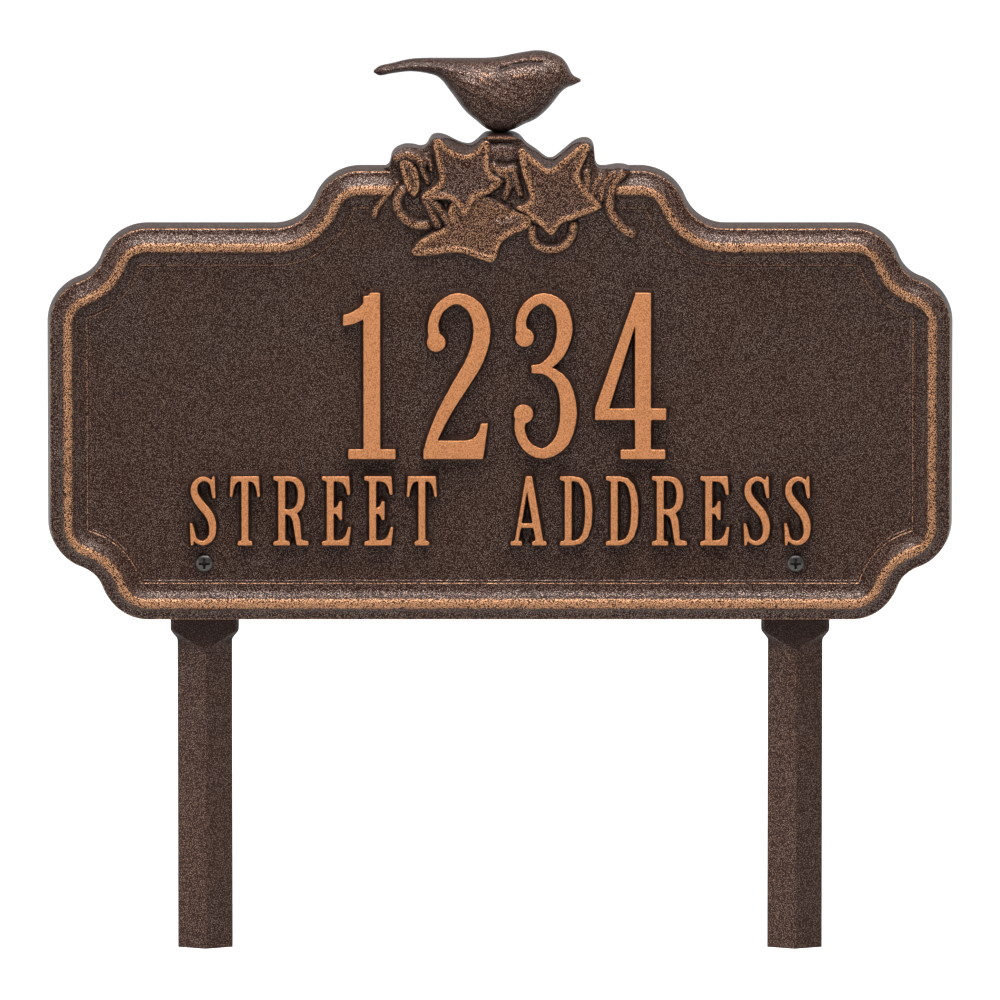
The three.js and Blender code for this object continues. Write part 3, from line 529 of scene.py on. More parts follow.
def rubbed_coat(name, colours, rub, start, spread, metal, rough, tilt):
    """A coat on sand-cast metal: a dull dark ground with a metal flake in the middle of each grain, bright
    or faint and tilted its own way, and warmer in patches. Where the rub attribute grows, copper takes
    first to the middles of the grains and then to all of them; where it falls below 0, painted shade darkens
    the ground and dulls the flakes. The sand value falls from 1 in the middle of a grain, and every value is
    equally common."""
    base, painted_shade, fleck = colours
    low, high = rub
    material, tree, output = new_material(name)
    place = add_node(tree, "ShaderNodeTexCoord").outputs["Object"]
    grains = add_node(tree, "ShaderNodeTexVoronoi", {"Vector": place, "Scale": 1 / GRAIN}).outputs
    cubed = add_node(tree, "ShaderNodeMath", {0: grains["Distance"], 1: 3.0}, operation='POWER').outputs[0]
    sand = add_node(tree, "ShaderNodeMath", {0: 0.015, 1: cubed}, operation='POWER').outputs[0]
    tone = add_node(tree, "ShaderNodeSeparateColor", {"Color": grains["Color"]}).outputs["Red"]
    cloud = add_node(tree, "ShaderNodeTexNoise", {
        "Vector": place, "Scale": 0.2 / GRAIN, "Detail": 2.0,
    }).outputs["Fac"]
    patch = add_node(tree, "ShaderNodeTexNoise", {
        "Vector": place, "Scale": 0.02 / GRAIN, "Detail": 1.0,
    }).outputs["Fac"]
    rub_and_painted_light = add_node(tree, "ShaderNodeAttribute", attribute_name="rub").outputs["Fac"]
    # Painted shade: below 0 the rub dulls the flakes
    unshaded = add_node(tree, "ShaderNodeMapRange", {
        "Value": rub_and_painted_light, "From Min": -1.0, "From Max": 0.0,
    }).outputs["Result"]
    peak = add_node(tree, "ShaderNodeMapRange", {"Value": tone, "To Min": 0.4}).outputs["Result"]
    bright = add_node(tree, "ShaderNodeMapRange", {
        "Value": grains["Distance"], "From Min": 0.43, "From Max": 0.08, "To Max": peak,
    }).outputs["Result"]
    flake = add_node(tree, "ShaderNodeMath", {0: bright, 1: unshaded}, operation='MULTIPLY').outputs[0]
    # Painted shade: the ground drawn towards the shade colour where the rub is below 0
    dull = add_node(tree, "ShaderNodeMix", {0: unshaded, 6: painted_shade, 7: base}, data_type='RGBA').outputs[2]
    warm = add_node(tree, "ShaderNodeMapRange", {
        "Value": patch, "From Min": 0.4, "From Max": 0.7, "To Max": 0.3,
    }).outputs["Result"]
    speck = add_node(tree, "ShaderNodeMix", {0: warm, 6: fleck, 7: high}, data_type='RGBA').outputs[2]
    coat = add_node(tree, "ShaderNodeMix", {0: flake, 6: dull, 7: speck}, data_type='RGBA').outputs[2]
    lifted = add_node(tree, "ShaderNodeMath", {0: sand, 1: rub_and_painted_light}, operation='ADD').outputs[0]
    drifted = add_node(tree, "ShaderNodeMath", {
        0: cloud, 1: 0.2, 2: lifted,
    }, operation='MULTIPLY_ADD').outputs[0]
    cover = add_node(tree, "ShaderNodeMapRange", {
        "Value": drifted, "From Min": start, "From Max": start + spread,
    }, interpolation_type='SMOOTHSTEP').outputs["Result"]
    shine = add_node(tree, "ShaderNodeMapRange", {
        "Value": sand, "From Min": 0.3, "From Max": 0.75,
    }, interpolation_type='SMOOTHSTEP').outputs["Result"]
    copper = add_node(tree, "ShaderNodeMix", {0: shine, 6: low, 7: high}, data_type='RGBA').outputs[2]
    paint = add_node(tree, "ShaderNodeMix", {0: cover, 6: coat, 7: copper}, data_type='RGBA').outputs[2]
    gleam = add_node(tree, "ShaderNodeMix", {0: cover, 2: flake, 3: metal}).outputs[0]
    matt = add_node(tree, "ShaderNodeMix", {0: cover, 2: rough, 3: 0.5}).outputs[0]
    facing = add_node(tree, "ShaderNodeNewGeometry").outputs["Normal"]
    lean = add_node(tree, "ShaderNodeVectorMath", {
        0: grains["Color"], 1: (0.5, 0.5, 0.5),
    }, operation='SUBTRACT').outputs[0]
    leaning = add_node(tree, "ShaderNodeVectorMath", {
        0: lean, 1: (tilt, tilt, tilt), 2: facing,
    }, operation='MULTIPLY_ADD').outputs[0]
    set_down = add_node(tree, "ShaderNodeVectorMath", {0: leaning}, operation='NORMALIZE').outputs[0]
    shader = add_node(tree, "ShaderNodeBsdfPrincipled", {
        "Base Color": paint, "Metallic": gleam, "Roughness": matt, "Normal": set_down,
        "Specular IOR Level": 0.08,
    })
    tree.links.new(shader.outputs[0], output.inputs["Surface"])
    return material


def plated_metal(name, base, rough, scratch):
    """Bright plated metal: a slightly uneven tint and gloss, drawn out in scratches that are coarser than
    real ones so that they show. Where the rub attribute falls below 0, painted shade darkens it."""
    material, tree, output = new_material(name)
    place = add_node(tree, "ShaderNodeTexCoord").outputs["Object"]
    drawn = add_node(tree, "ShaderNodeMapping", {"Vector": place, "Scale": (1.0, 6.0, 1.0)}).outputs[0]
    marks = add_node(tree, "ShaderNodeTexNoise", {
        "Vector": drawn, "Scale": 1 / scratch, "Detail": 4.0, "Roughness": 0.7,
    }).outputs["Fac"]
    dull = tuple(0.62 * value for value in base[:3]) + (1.0,)
    tint = add_node(tree, "ShaderNodeMix", {0: marks, 6: dull, 7: base}, data_type='RGBA').outputs[2]
    # Painted shade: below 0 the rub darkens the tint
    painted_recess_shade = add_node(tree, "ShaderNodeAttribute", attribute_name="rub").outputs["Fac"]
    unshaded = add_node(tree, "ShaderNodeMapRange", {
        "Value": painted_recess_shade, "From Min": -1.0, "From Max": 0.0, "To Min": 0.1,
    }).outputs["Result"]
    tint = add_node(tree, "ShaderNodeVectorMath", {0: tint, "Scale": unshaded}, operation='SCALE').outputs[0]
    gloss = add_node(tree, "ShaderNodeMapRange", {
        "Value": marks, "From Min": 0.3, "From Max": 0.7, "To Min": rough - 0.08, "To Max": rough + 0.1,
    }).outputs["Result"]
    relief = add_node(tree, "ShaderNodeBump", {
        "Height": marks, "Strength": 0.4, "Distance": 0.05 * MM,
    }).outputs["Normal"]
    shader = add_node(tree, "ShaderNodeBsdfPrincipled", {
        "Base Color": tint, "Metallic": 1.0, "Roughness": gloss, "Normal": relief,
    })
    tree.links.new(shader.outputs[0], output.inputs["Surface"])
    return material


def bronze_coat(scene):
    """Hammered bronze enamel: a dark brown ground under fine pale specks, and satin copper on what
    stands proud."""
    tint = scene.plaque_colours
    return rubbed_coat(
        "bronze enamel rubbed with copper on sand-cast aluminium",
        [tuple(tint.bronze), tuple(tint.painted_shade), tuple(tint.fleck)], [tuple(tint.rubbed), tuple(tint.sheen)],
        start=1.12, spread=0.5, metal=0.5, rough=0.38, tilt=0.2,
    )


def arc(x, z, radius, start, end, bulge):
    """Points of an arc from one angle to another: place, direction that leaves the plate, and how much
    further out the tangents at its ends lie, as a share of the radius and as a length."""
    angle = np.linspace(start, end, max(7, 2 * int(abs(end - start) / 0.12) + 1))
    out = np.stack([np.cos(angle), np.sin(angle)], axis=1)
    near = np.minimum(np.abs(angle - start), np.abs(end - angle))
    spare = (1 / np.cos(near) - 1)[:, None] * max(bulge, 0)
    return np.hstack([(x, z) + radius * out, bulge * out, spare, radius * spare])


def plate_path(plate):
    """The plate's outline as tangent arcs and straight runs, anticlockwise, in the columns of an arc."""
    quarter = math.pi / 2
    side, top = plate.width / 2, plate.top
    offset = plate.corner_radius - plate.scoop_inset
    reach = math.sqrt((plate.scoop_radius + plate.corner_radius) ** 2 - offset ** 2)
    lean = math.atan2(reach, offset)
    tangent = plate.scoop_inset + reach
    corner = np.vstack([
        arc(side - plate.corner_radius, top - tangent, plate.corner_radius, 0, lean, 1),
        arc(side - plate.scoop_inset, top - plate.scoop_inset, plate.scoop_radius,
            math.pi + lean, math.pi + quarter - lean, -1)[1:],
        arc(side - tangent, top - plate.corner_radius, plate.corner_radius, quarter - lean, quarter, 1)[1:],
    ])
    radii = plate.arch_foot + plate.arch_head
    turn = math.acos(1 - plate.arch_rise / radii)
    run = radii * math.sin(turn)
    arch = np.vstack([
        arc(plate.arch_flat / 2 + run, top + plate.arch_foot, plate.arch_foot,
            -quarter, -quarter - turn, -1),
        arc(plate.arch_flat / 2, plate.arch_top - plate.arch_head, plate.arch_head,
            quarter - turn, quarter, 1)[1:],
    ])
    middle = plate.clearance + plate.height / 2
    foot = (corner * (1, -1, 1, -1, 1, 1) + (0, 2 * middle, 0, 0, 0, 0))[::-1]
    right = np.vstack([foot, corner, arch])
    across = np.linspace(plate.arch_flat / 2, -plate.arch_flat / 2, 140)[1:-1, None]
    level = np.hstack([across, np.broadcast_to((plate.arch_top, 0, 1, 0, 0), (len(across), 5))])
    return np.vstack([right, level, (right * (-1, 1, -1, 1, 1, 1))[::-1]])


def plate_section(plate, rim):
    """Section from the hollow behind, round the outer wall and over the moulding to the field.
    The hollow outside the bead is an arc that steepens, the bead an arc over the top, and the cove inside
    it an arc that flattens, each between two slopes. Columns are inset, depth and rub: copper on the front
    edge and the bead, copper on the step edges that is partly a painted highlight, and below 0 painted
    shade on the outer wall, the hollow's outer part, the cove next to the field and between the steps."""
    draft = plate.wall_draft
    half = rim.bead_width / 2
    low, high, brow = rim.foot_slope, rim.side_slope, rim.bead_slope
    rising = np.linspace(low, high, 14)
    across = np.linspace(-brow, brow, 27)
    falling = np.linspace(high, 0, 16)
    wide = (rim.bead_inset - half - rim.land) / (math.sin(high) - math.sin(low))
    round_off = half / math.sin(brow)
    hollow = [
        rim.land + wide * (np.sin(rising) - math.sin(low)),
        rim.land_rise + wide * (math.cos(low) - np.cos(rising)),
        # Painted shade on the hollow's outer part, fading out towards the bead
        -0.12 + 0.2 * ease(rising, low, high),
    ]
    shoulder = hollow[1][-1]
    bead = [
        rim.bead_inset + round_off * np.sin(across),
        shoulder + round_off * (np.cos(across) - math.cos(brow)),
        0.08 + 0.72 * ease(np.cos(across), math.cos(brow), 1),
    ]
    deep = (shoulder - rim.land_rise) / (1 - math.cos(high))
    cove = [
        rim.bead_inset + half + deep * (math.sin(high) - np.sin(falling)),
        rim.land_rise + deep * (1 - np.cos(falling)),
        # Painted shade on the cove next to the field, fading out towards the bead
        -0.08 + 0.13 * ease(falling, 0.4 * high, high),
    ]
    field = plate.field_depth - plate.edge_depth
    front = np.hstack([
        [[0.2 * MM, rim.land / 2], [0.2 * MM, 0.4 * MM], [0.6, 0.5]],
        np.array(hollow), np.array(bead)[:, 1:], np.array(cove)[:, 1:],
        # Two steps to the field: copper on their edges, partly a painted highlight, painted shade on the
        # flat between them, and the field, whose face takes the last rub, a little darker and duller
        [rim.width + rim.step * np.array([-0.7, -0.2, 0, 0.9, 1.2, 3.2, 3.5, 4.4, 4.8]),
         field + (rim.land_rise - field) * np.array([1, 1, 0.95, 0.5, 0.5, 0.5, 0.45, 0.04, 0]),
         [-0.3, 0.55, 0.6, 0.45, -0.5, -0.5, 0.35, 0.1, -0.34]],
    ]).T + (draft, plate.edge_depth, 0)
    land = plate.back_land
    back = np.array([
        (land + 1.6 * MM, plate.pan_depth, 0), (land + 0.8 * MM, plate.pan_depth - 0.2 * MM, 0),
        (land + 0.3 * MM, plate.pan_depth - 0.9 * MM, 0), (land, 0.3 * MM, 0), (land - 0.3 * MM, 0, 0),
        # Painted shade round the back edge and down the outer wall; copper on the front edge
        (0.5 * MM, 0, 0), (0.15 * MM, 0.12 * MM, -0.5), (0, 0.5 * MM, -0.7),
        (draft - 0.05 * MM, plate.edge_depth - 0.4 * MM, -0.7), (draft, plate.edge_depth - 0.1 * MM, 0.4),
    ])
    return np.vstack([back, front])


def gap_inside(points, loop):
    """Distance of each point from a closed outline, negative outside it. A point is inside where a level
    line from it crosses the outline an odd number of times."""
    after = np.roll(loop, -1, axis=0)
    x, z = points[:, :1], points[:, 1:]
    spans = (loop[:, 1] > z) != (after[:, 1] > z)
    rise = np.where(spans, after[:, 1] - loop[:, 1], 1)
    crossing = loop[:, 0] + (z - loop[:, 1]) * (after[:, 0] - loop[:, 0]) / rise
    inside = np.sum(spans & (x < crossing), axis=1) % 2 == 1
    gap = distance_to(points, np.vstack([loop, loop[:1]]))
    return np.where(inside, gap, -gap)


# How far the sides of a form can reach past its outline
MARGIN = 4 * MM


class Relief:
    """A ground of points in X and Z with a depth and a rub, on which forms are laid one by one."""

    def __init__(self, flat, ground):
        self.flat = flat
        self.depth = np.full(flat.shape[:-1], ground)
        self.rub = np.zeros(flat.shape[:-1])

    def near(self, line, reach):
        """Which points lie in a line's box or within reach of it."""
        low, high = line.min(axis=0) - reach, line.max(axis=0) + reach
        return np.all((self.flat > low) & (self.flat < high), axis=-1)

    def lay(self, near, depth, rub, soft):
        """Keeps the higher of the ground and a form, rounded where they meet."""
        ground = self.depth[near]
        meet = np.maximum(0, 1 - np.abs(depth - ground) / soft)
        self.depth[near] = np.maximum(depth, ground) + soft * meet ** 2 / 4
        above = ease(depth - ground, -soft / 2, soft / 2)
        self.rub[near] += above * (rub - self.rub[near])

    def leaf(self, outline, face, rub, ivy):
        """A leaf: a border whose section is half an ellipse of the gap from the outline, a face that
        swells inside it, and steep sides."""
        near = self.near(outline, MARGIN)
        gap = gap_inside(self.flat[near], outline)
        across = np.clip(gap / ivy.bead_width, 0, 1)
        border = np.sqrt(1 - (2 * across - 1) ** 2)
        swell = ivy.swell * ease(gap, ivy.bead_width, ivy.swell_reach)
        depth = face - ivy.bead_rise * (1 - border) + swell + ivy.side_slope * np.minimum(gap, 0)
        rub_and_painted_light = ridge(gap - 0.4 * ivy.bead_width, 0.5 * ivy.bead_width)
        # Copper on the border; painted shade down the sides outside the outline
        rub = np.where(gap > 0, rub, -0.5) + (0.7 - rub) * rub_and_painted_light
        self.lay(near, depth, rub, ivy.leaf_blend)

    def stem(self, path, radius, depth, rub, ivy):
        """A round bar, half sunk at its depth, whose thickness and depth run evenly along its path."""
        near = self.near(path, radius.max() + MARGIN / 2)
        away = np.linalg.norm(self.flat[near][:, None] - path, axis=-1)
        place = away.argmin(axis=1)
        away, thick = distance_to(self.flat[near], path), radius[place]
        crown = np.sqrt(np.maximum(0, thick ** 2 - away ** 2))
        level = depth[place] + crown + ivy.side_slope * np.minimum(0, thick - away)
        # Copper on the crown, falling to painted shade on the sides
        rub_and_painted_light = (rub + 0.2) * ease(crown / thick, 0.45, 1.05) - 0.3
        self.lay(near, level, rub_and_painted_light, ivy.stem_blend)

    def mound(self, outline, depth, ivy):
        """Level ground inside an outline that falls away beside it."""
        near = self.near(outline, MARGIN)
        gap = gap_inside(self.flat[near], outline)
        # Painted shade on the ground between the leaves
        self.lay(near, depth + 1.5 * np.minimum(gap, 0), -0.15, ivy.stem_blend)


def sprig_surface(plate, ivy):
    """The sprig and its perch in upright sections, each a closed ring: up the front, over a rounded edge
    at the skyline, down the wall behind it and back inside the plate. The front is the highest of a ground
    that the plate hides, the mounds, the stems and the leaves."""
    unit = ivy.width / 100

    def placed(points):
        return np.asarray(points, float) * unit + (0, plate.arch_top)

    line = placed(spline(SKYLINE, 1200))
    run = np.append(0, np.cumsum(np.linalg.norm(np.diff(line, axis=0), axis=1)))
    at = np.linspace(0, run[-1], int(run[-1] / ivy.grid))
    x, top = (np.interp(at, run, line[:, k])[:, None] for k in (0, 1))
    low = plate.arch_top - ivy.drop
    z = low + (top - ivy.edge_round - low) * np.linspace(0, 1, int(ivy.drop / ivy.grid * 1.2))
    relief = Relief(np.stack(np.broadcast_arrays(x, z), axis=-1), plate.pan_depth + 0.8 * MM)
    for depth, outline in MOUNDS:
        relief.mound(placed(spline(outline, 80, closed=True)), depth * MM, ivy)
    for first, last, start, end, rub, path in STEMS:
        path = placed(spline(path, 60))
        radius, depth = np.linspace((first, start), (last, end), 60).T * MM
        relief.stem(path, radius, depth, rub, ivy)
    for depth, rub, outline in LEAVES:
        relief.leaf(placed(spline(outline, 220, closed=True)), getattr(ivy, depth), rub, ivy)
    for *place, wide, tall, fall in DIPS:
        away = (relief.flat - placed(place)) / (wide * unit, tall * unit)
        relief.depth -= fall * MM * np.exp(-np.sum(away ** 2, axis=-1))
    front = relief.depth[:, -1:]
    quarter = np.linspace(0, math.pi / 2, 5)[1:]
    behind, inside = 0.15 * MM, plate.pan_depth + 0.4 * MM
    sill = np.minimum(top - MM, plate.arch_top - 3 * MM)
    wall = np.linspace(0, 1, 6)[1:]
    z = np.hstack([
        z, top - ivy.edge_round * (1 - np.sin(quarter)), top + 0 * wall, top - 0.3 * MM, sill,
        sill - 2 * MM, low + 0 * sill,
    ])
    depth = np.hstack([
        relief.depth, front - ivy.edge_round * (1 - np.cos(quarter)),
        front - ivy.edge_round + (2 * behind - front + ivy.edge_round) * wall, behind + 0 * sill,
        behind + 0 * sill, inside + 0 * sill, inside + 0 * sill,
    ])
    points = standing(np.stack(np.broadcast_arrays(x, z), axis=-1), depth)
    # Painted shade on the rounded edge at the skyline and down the wall behind it
    rub = np.full(depth.shape, -0.7)
    rub[:, :relief.rub.shape[1]] = relief.rub
    return points, capped(*points.shape[:2]), rub


def bird_surface(bird, perch):
    """A bird in upright slices between smooth curves through the listed ones: each has a flat back and
    a front that follows a power of the sine. The wing steps out above its lower edge and swells in two
    lobes parted by a notch, under wavy plumes; a fold with a ridge above it parts it from the back, a
    ridge runs along the tail and the eye is a small bump. The rub carries painted light: higher on the top
    of each slice and lower on the tail, with painted shade in the fold, the notch and at the outline."""
    unit = bird.length / 100
    place, low, high, bulge = spline(BIRD_SLICES, 260).T[:, :, None] * unit
    turn = np.linspace(0, math.pi, 90)
    level = (low + high) / 2 + (high - low) / 2 * np.cos(turn)
    depth = bulge * np.sin(turn) ** 0.8
    flat = np.stack(np.broadcast_arrays(place, level), axis=-1)
    wing = np.array(WING_EDGE) * unit
    drop = level - np.interp(place, wing[:, 0], wing[:, 1])
    rear, fore = np.array(WING_RUN) * unit
    within = ease(place, *rear) * (1 - ease(place, *fore))
    step = within * ease(drop, -0.4 * MM, 0.4 * MM) * (1 - ease(drop, 1 * MM, 9 * MM))
    fold, tail, eye, notch = (
        ridge(distance_to(flat, np.array(line) * unit), bird.line)
        for line in (WING_CREASE, TAIL_RIDGE, BIRD_EYE, WING_NOTCH)
    )
    covert = ridge(distance_to(flat, np.array(WING_CREASE) * unit + (0, 2 * bird.line)), 1.1 * MM)
    lobe = sum(
        ridge((place - x * unit) / wide, unit) * ridge((level - z * unit) / tall, unit)
        for x, z, wide, tall in WING_LOBES
    )
    plume = within * np.sin((drop + 1.2 * MM * np.sin(place / (5 * MM))) / (0.5 * MM))
    front = np.sin(turn) ** 0.5
    raised = 0.6 * (tail + eye + lobe - notch) + 0.9 * covert + 0.1 * plume
    depth = depth + front * (bird.wing_step * step - bird.crease * fold + raised * MM)
    points = np.stack(np.broadcast_arrays(place, -depth, perch + level), axis=-1)
    # Painted light: the rub rises towards the top of each slice and falls on the tail
    lit = -0.75 + 0.15 * ease(np.cos(turn), -0.9, 0.3) + 0.55 * ease(place, -30 * unit, -10 * unit)
    edge = within * ridge(drop - 0.5 * MM, 0.8 * MM)
    # Copper on the wing's edge, the tail ridge, the lobes and plumes, heaviest on the covert ridge as a
    # painted highlight; painted shade in the fold and the notch
    rub = lit + 0.35 * (edge + tail + lobe) + 0.8 * covert + 0.15 * plume - 0.9 * fold - 0.5 * notch
    # Painted shade at the outline: the rub falls to -0.8 where each slice turns back
    return points, capped(*points.shape[:2]), (rub + 0.8) * ease(np.sin(turn), 0.1, 0.7) - 0.8


def front_loops(node):
    """The closed outlines of a node's flat front: edges that only one front triangle has, each followed
    by the one that starts where it ends. Their order comes from doubling how far each looks ahead."""
    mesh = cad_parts[node].data
    mesh.calc_loop_triangles()
    points = np.empty(3 * len(mesh.vertices))
    mesh.vertices.foreach_get("co", points)
    corners = np.empty(3 * len(mesh.loop_triangles), int)
    mesh.loop_triangles.foreach_get("vertices", corners)
    points, same = np.unique(points.reshape(-1, 3).round(6), axis=0, return_inverse=True)
    triangles = same.ravel()[corners].reshape(-1, 3)
    front = points[:, 1].min() + 0.02 * MM
    triangles = triangles[(points[triangles, 1] < front).all(axis=1)]
    edges = np.concatenate([triangles[:, [0, 1]], triangles[:, [1, 2]], triangles[:, [2, 0]]])
    code = edges[:, 0] * len(points) + edges[:, 1]
    back = edges[:, 1] * len(points) + edges[:, 0]
    edges = edges[~np.isin(code, back)]
    if not len(edges):
        raise ValueError(f"{node} has no flat front")
    names, slots = np.unique(edges[:, 0], return_inverse=True)
    ahead = np.empty(len(names), int)
    ahead[slots.ravel()] = np.searchsorted(names, edges[:, 1])
    lead, jump = np.arange(len(names)), ahead.copy()
    for _ in range(int(np.log2(len(names))) + 2):
        lead, jump = np.minimum(lead, lead[jump]), jump[jump]
    jump = np.where(lead == np.arange(len(names)), lead, ahead)
    steps = (jump != np.arange(len(names))).astype(int)
    for _ in range(int(np.log2(len(names))) + 2):
        steps, jump = steps + steps[jump], jump[jump]
    flat = points[names][:, [0, 2]]
    return [flat[lead == k][np.argsort(-steps[lead == k])] for k in np.unique(lead)]


def character_surface(node, plate, sizes):
    """A raised character from the outlines of its node's face: a rounded edge, then sides that spread
    straight down to the field. The round draws in less where an outline turns sharply."""
    face = -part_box(node)[0].y
    quarter = np.linspace(0, math.pi / 2, 6)
    points, faces, rubs, fronts, backs = [], [], [], [], []
    first = 0
    for loop in front_loops(node):
        loop = even_loop(loop, 0.35 * MM, sizes.corner_round)
        out = outward(loop)
        turn = np.sum(np.roll(out, -1, axis=0) * np.stack([-out[:, 1], out[:, 0]], axis=1), axis=1)
        gap = np.linalg.norm(np.roll(loop, -1, axis=0) - loop, axis=1)
        sharp = np.maximum(0, (turn + np.roll(turn, 1)) / (gap + np.roll(gap, 1)))
        reach = (sizes.edge_round / (1 + 1.4 * sizes.edge_round * sharp))[:, None]
        inset = np.concatenate([reach * (1 - np.sin(t)) for t in quarter], axis=1).T
        drop = np.append(sizes.edge_round * (1 - np.cos(quarter)), face - plate.field_depth)
        inset = np.vstack([inset, np.full(len(loop), -sizes.draft)])
        rings = standing(loop - inset[..., None] * out, (face - drop)[:, None])
        rows, columns = rings.shape[:2]
        points.append(rings.reshape(-1, 3))
        faces += grid_faces(rows, columns, first)
        # Copper on the face and its round; painted shade down the sides and at their foot
        rubs.append(np.repeat([1, 1, 1, 1, -0.5, -1, -0.4], columns))
        fronts.append(first + np.arange(columns))
        backs.append(first + (rows - 1) * columns + np.arange(columns))
        first += rows * columns
    points = np.concatenate(points)
    for rings in (fronts, backs):
        order = np.concatenate(rings)
        flat = [np.pad(points[ring][:, [0, 2]], ((0, 0), (0, 1))).tolist() for ring in rings]
        faces += order[np.array(tessellate_polygon(flat))].tolist()
    return points, faces, np.concatenate(rubs)


def rounded_sections(corners, reach):
    """Closed sections with each corner replaced by a parabola that starts and ends a little way off."""
    before = np.roll(corners, 1, axis=1) - corners
    after = np.roll(corners, -1, axis=1) - corners
    cut = []
    for way in (before, after):
        run = np.linalg.norm(way, axis=-1, keepdims=True)
        cut.append(np.minimum(reach / run, 0.45) * way)
    t = np.linspace(0, 1, 5)[:, None]
    curve = (corners + cut[0])[:, :, None] * (1 - t) ** 2 + 2 * t * (1 - t) * corners[:, :, None]
    curve = curve + (corners + cut[1])[:, :, None] * t ** 2
    return curve.reshape(len(corners), -1, 2)


def stake_surface(node, stake, plate):
    """A stake in level six-cornered sections, whose sizes run straight from place to place and are
    softened along it: point, ridged shaft, vee, neck and pad."""
    low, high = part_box(node)
    front, back = low.y, high.y
    shoulder, edge = front + stake.ridge_rise, front + stake.pad_chamfer
    pad_flat = stake.pad_width - 2 * stake.pad_chamfer
    top_width = stake.pad_width - 2 * stake.pad_top
    pad_foot = plate.clearance - stake.pad_drop
    neck = pad_foot - stake.neck
    vee = neck - stake.vee
    vee_flat = stake.ridge_flat + (pad_flat - stake.ridge_flat) * stake.vee / (stake.vee + stake.neck)
    pad_back = front + stake.pad_thickness
    ridge_flat = stake.ridge_flat
    places = np.array([
        (low.z, stake.tip_width, ridge_flat, back - stake.tip_width, back - stake.tip_width / 2, back),
        (low.z + stake.tip, stake.width, ridge_flat, front, shoulder, back),
        (vee, stake.width, ridge_flat, front, shoulder, back),
        (neck, stake.width, vee_flat, front, (shoulder + edge) / 2, back),
        (pad_foot, stake.pad_width, pad_flat, front, edge, back),
        (pad_foot + stake.pad_slope, stake.pad_width, pad_flat, front, edge, pad_back),
        (high.z - stake.pad_top, stake.pad_width, pad_flat, front, edge, pad_back),
        (high.z, top_width, top_width - 2 * stake.pad_chamfer, front, edge, pad_back),
    ])
    level = np.linspace(low.z, high.z, 620)
    reach = stake.soften * np.sin(np.linspace(0, math.pi, len(level))) ** 0.2
    taps = np.linspace(-1.5, 1.5, 9)
    weight = np.exp(-taps ** 2)
    around = level[:, None] + reach[:, None] * taps
    width, flat, ahead, side, behind = (
        np.interp(around, places[:, 0], places[:, k]) @ weight / weight.sum() for k in range(1, 6)
    )
    half, crown = width / 2, flat / 2
    corners = np.stack([
        np.stack([half, side], 1), np.stack([half, behind], 1), np.stack([-half, behind], 1),
        np.stack([-half, side], 1), np.stack([-crown, ahead], 1), np.stack([crown, ahead], 1),
    ], axis=1)
    section = rounded_sections(corners, stake.edge_round)
    middle = (low.x + high.x) / 2
    height = np.broadcast_to(level[:, None], section.shape[:2])
    points = np.stack([middle + section[..., 0], section[..., 1], height], axis=-1)
    # Painted shade under the pad's corners: the sides and outer facets darker between the vee and the pad's
    # foot
    under = ease(level, vee - 2 * MM, neck) * (1 - ease(level, pad_foot - MM, pad_foot + MM))
    # Points to a corner, of which the third is its middle
    per = section.shape[1] // corners.shape[1]
    under = under[:, None] * np.repeat([1, 1, 1, 1, 0, 0], per)
    # Painted shadow of the plate: the pad darker above the vee, its flat front most
    shade = ease(level, vee - MM, vee + 2 * MM)[:, None]
    column = np.arange(section.shape[1])
    flat_front = (column >= 4 * per + 2) & (column <= 5 * per + 2)
    right_side = (column > 5 * per + 2) | (column < 2)
    # Painted shade also darkens the right facet, away from the light
    painted_shade = np.maximum(0.9 * under, (0.2 + 0.5 * flat_front) * shade)
    return points, capped(*points.shape[:2]), -np.maximum(painted_shade, 0.3 * right_side)


def seat_surface(middle, low, high, width, back, depth, edge):
    """A block behind the plate with rounded corners and a rounded rear edge."""
    corner = np.array([[(-1, -1), (1, -1), (1, 1), (-1, 1)]]) * (width / 2, (high - low) / 2)
    quarter = np.linspace(0, math.pi / 2, 5)
    shrink = np.append(0, edge * (1 - np.cos(quarter)))
    depths = np.append(depth, back + edge - edge * np.sin(quarter))
    outline = rounded_sections(corner, 3 * edge)[0]
    scale = 1 - shrink[:, None] / (width / 2, (high - low) / 2)
    flat = outline * scale[:, None] + (middle, (low + high) / 2)
    points = standing(flat, depths[:, None])
    return points, capped(*points.shape[:2])


def turned_surface(middle, radius, along, sides=48):
    """Rings about an axis that runs from front to back: a radius and a place for each, which may change
    round the ring."""
    turn = np.linspace(0, 2 * math.pi, sides, endpoint=False)
    radius, along = np.broadcast_arrays(radius, along)
    if radius.shape[-1] == 1:
        radius, along = (np.broadcast_to(array, (len(array), sides)) for array in (radius, along))
    x = middle[0] + radius * np.cos(turn)
    z = middle[1] + radius * np.sin(turn)
    return np.stack([x, along, z], axis=-1)


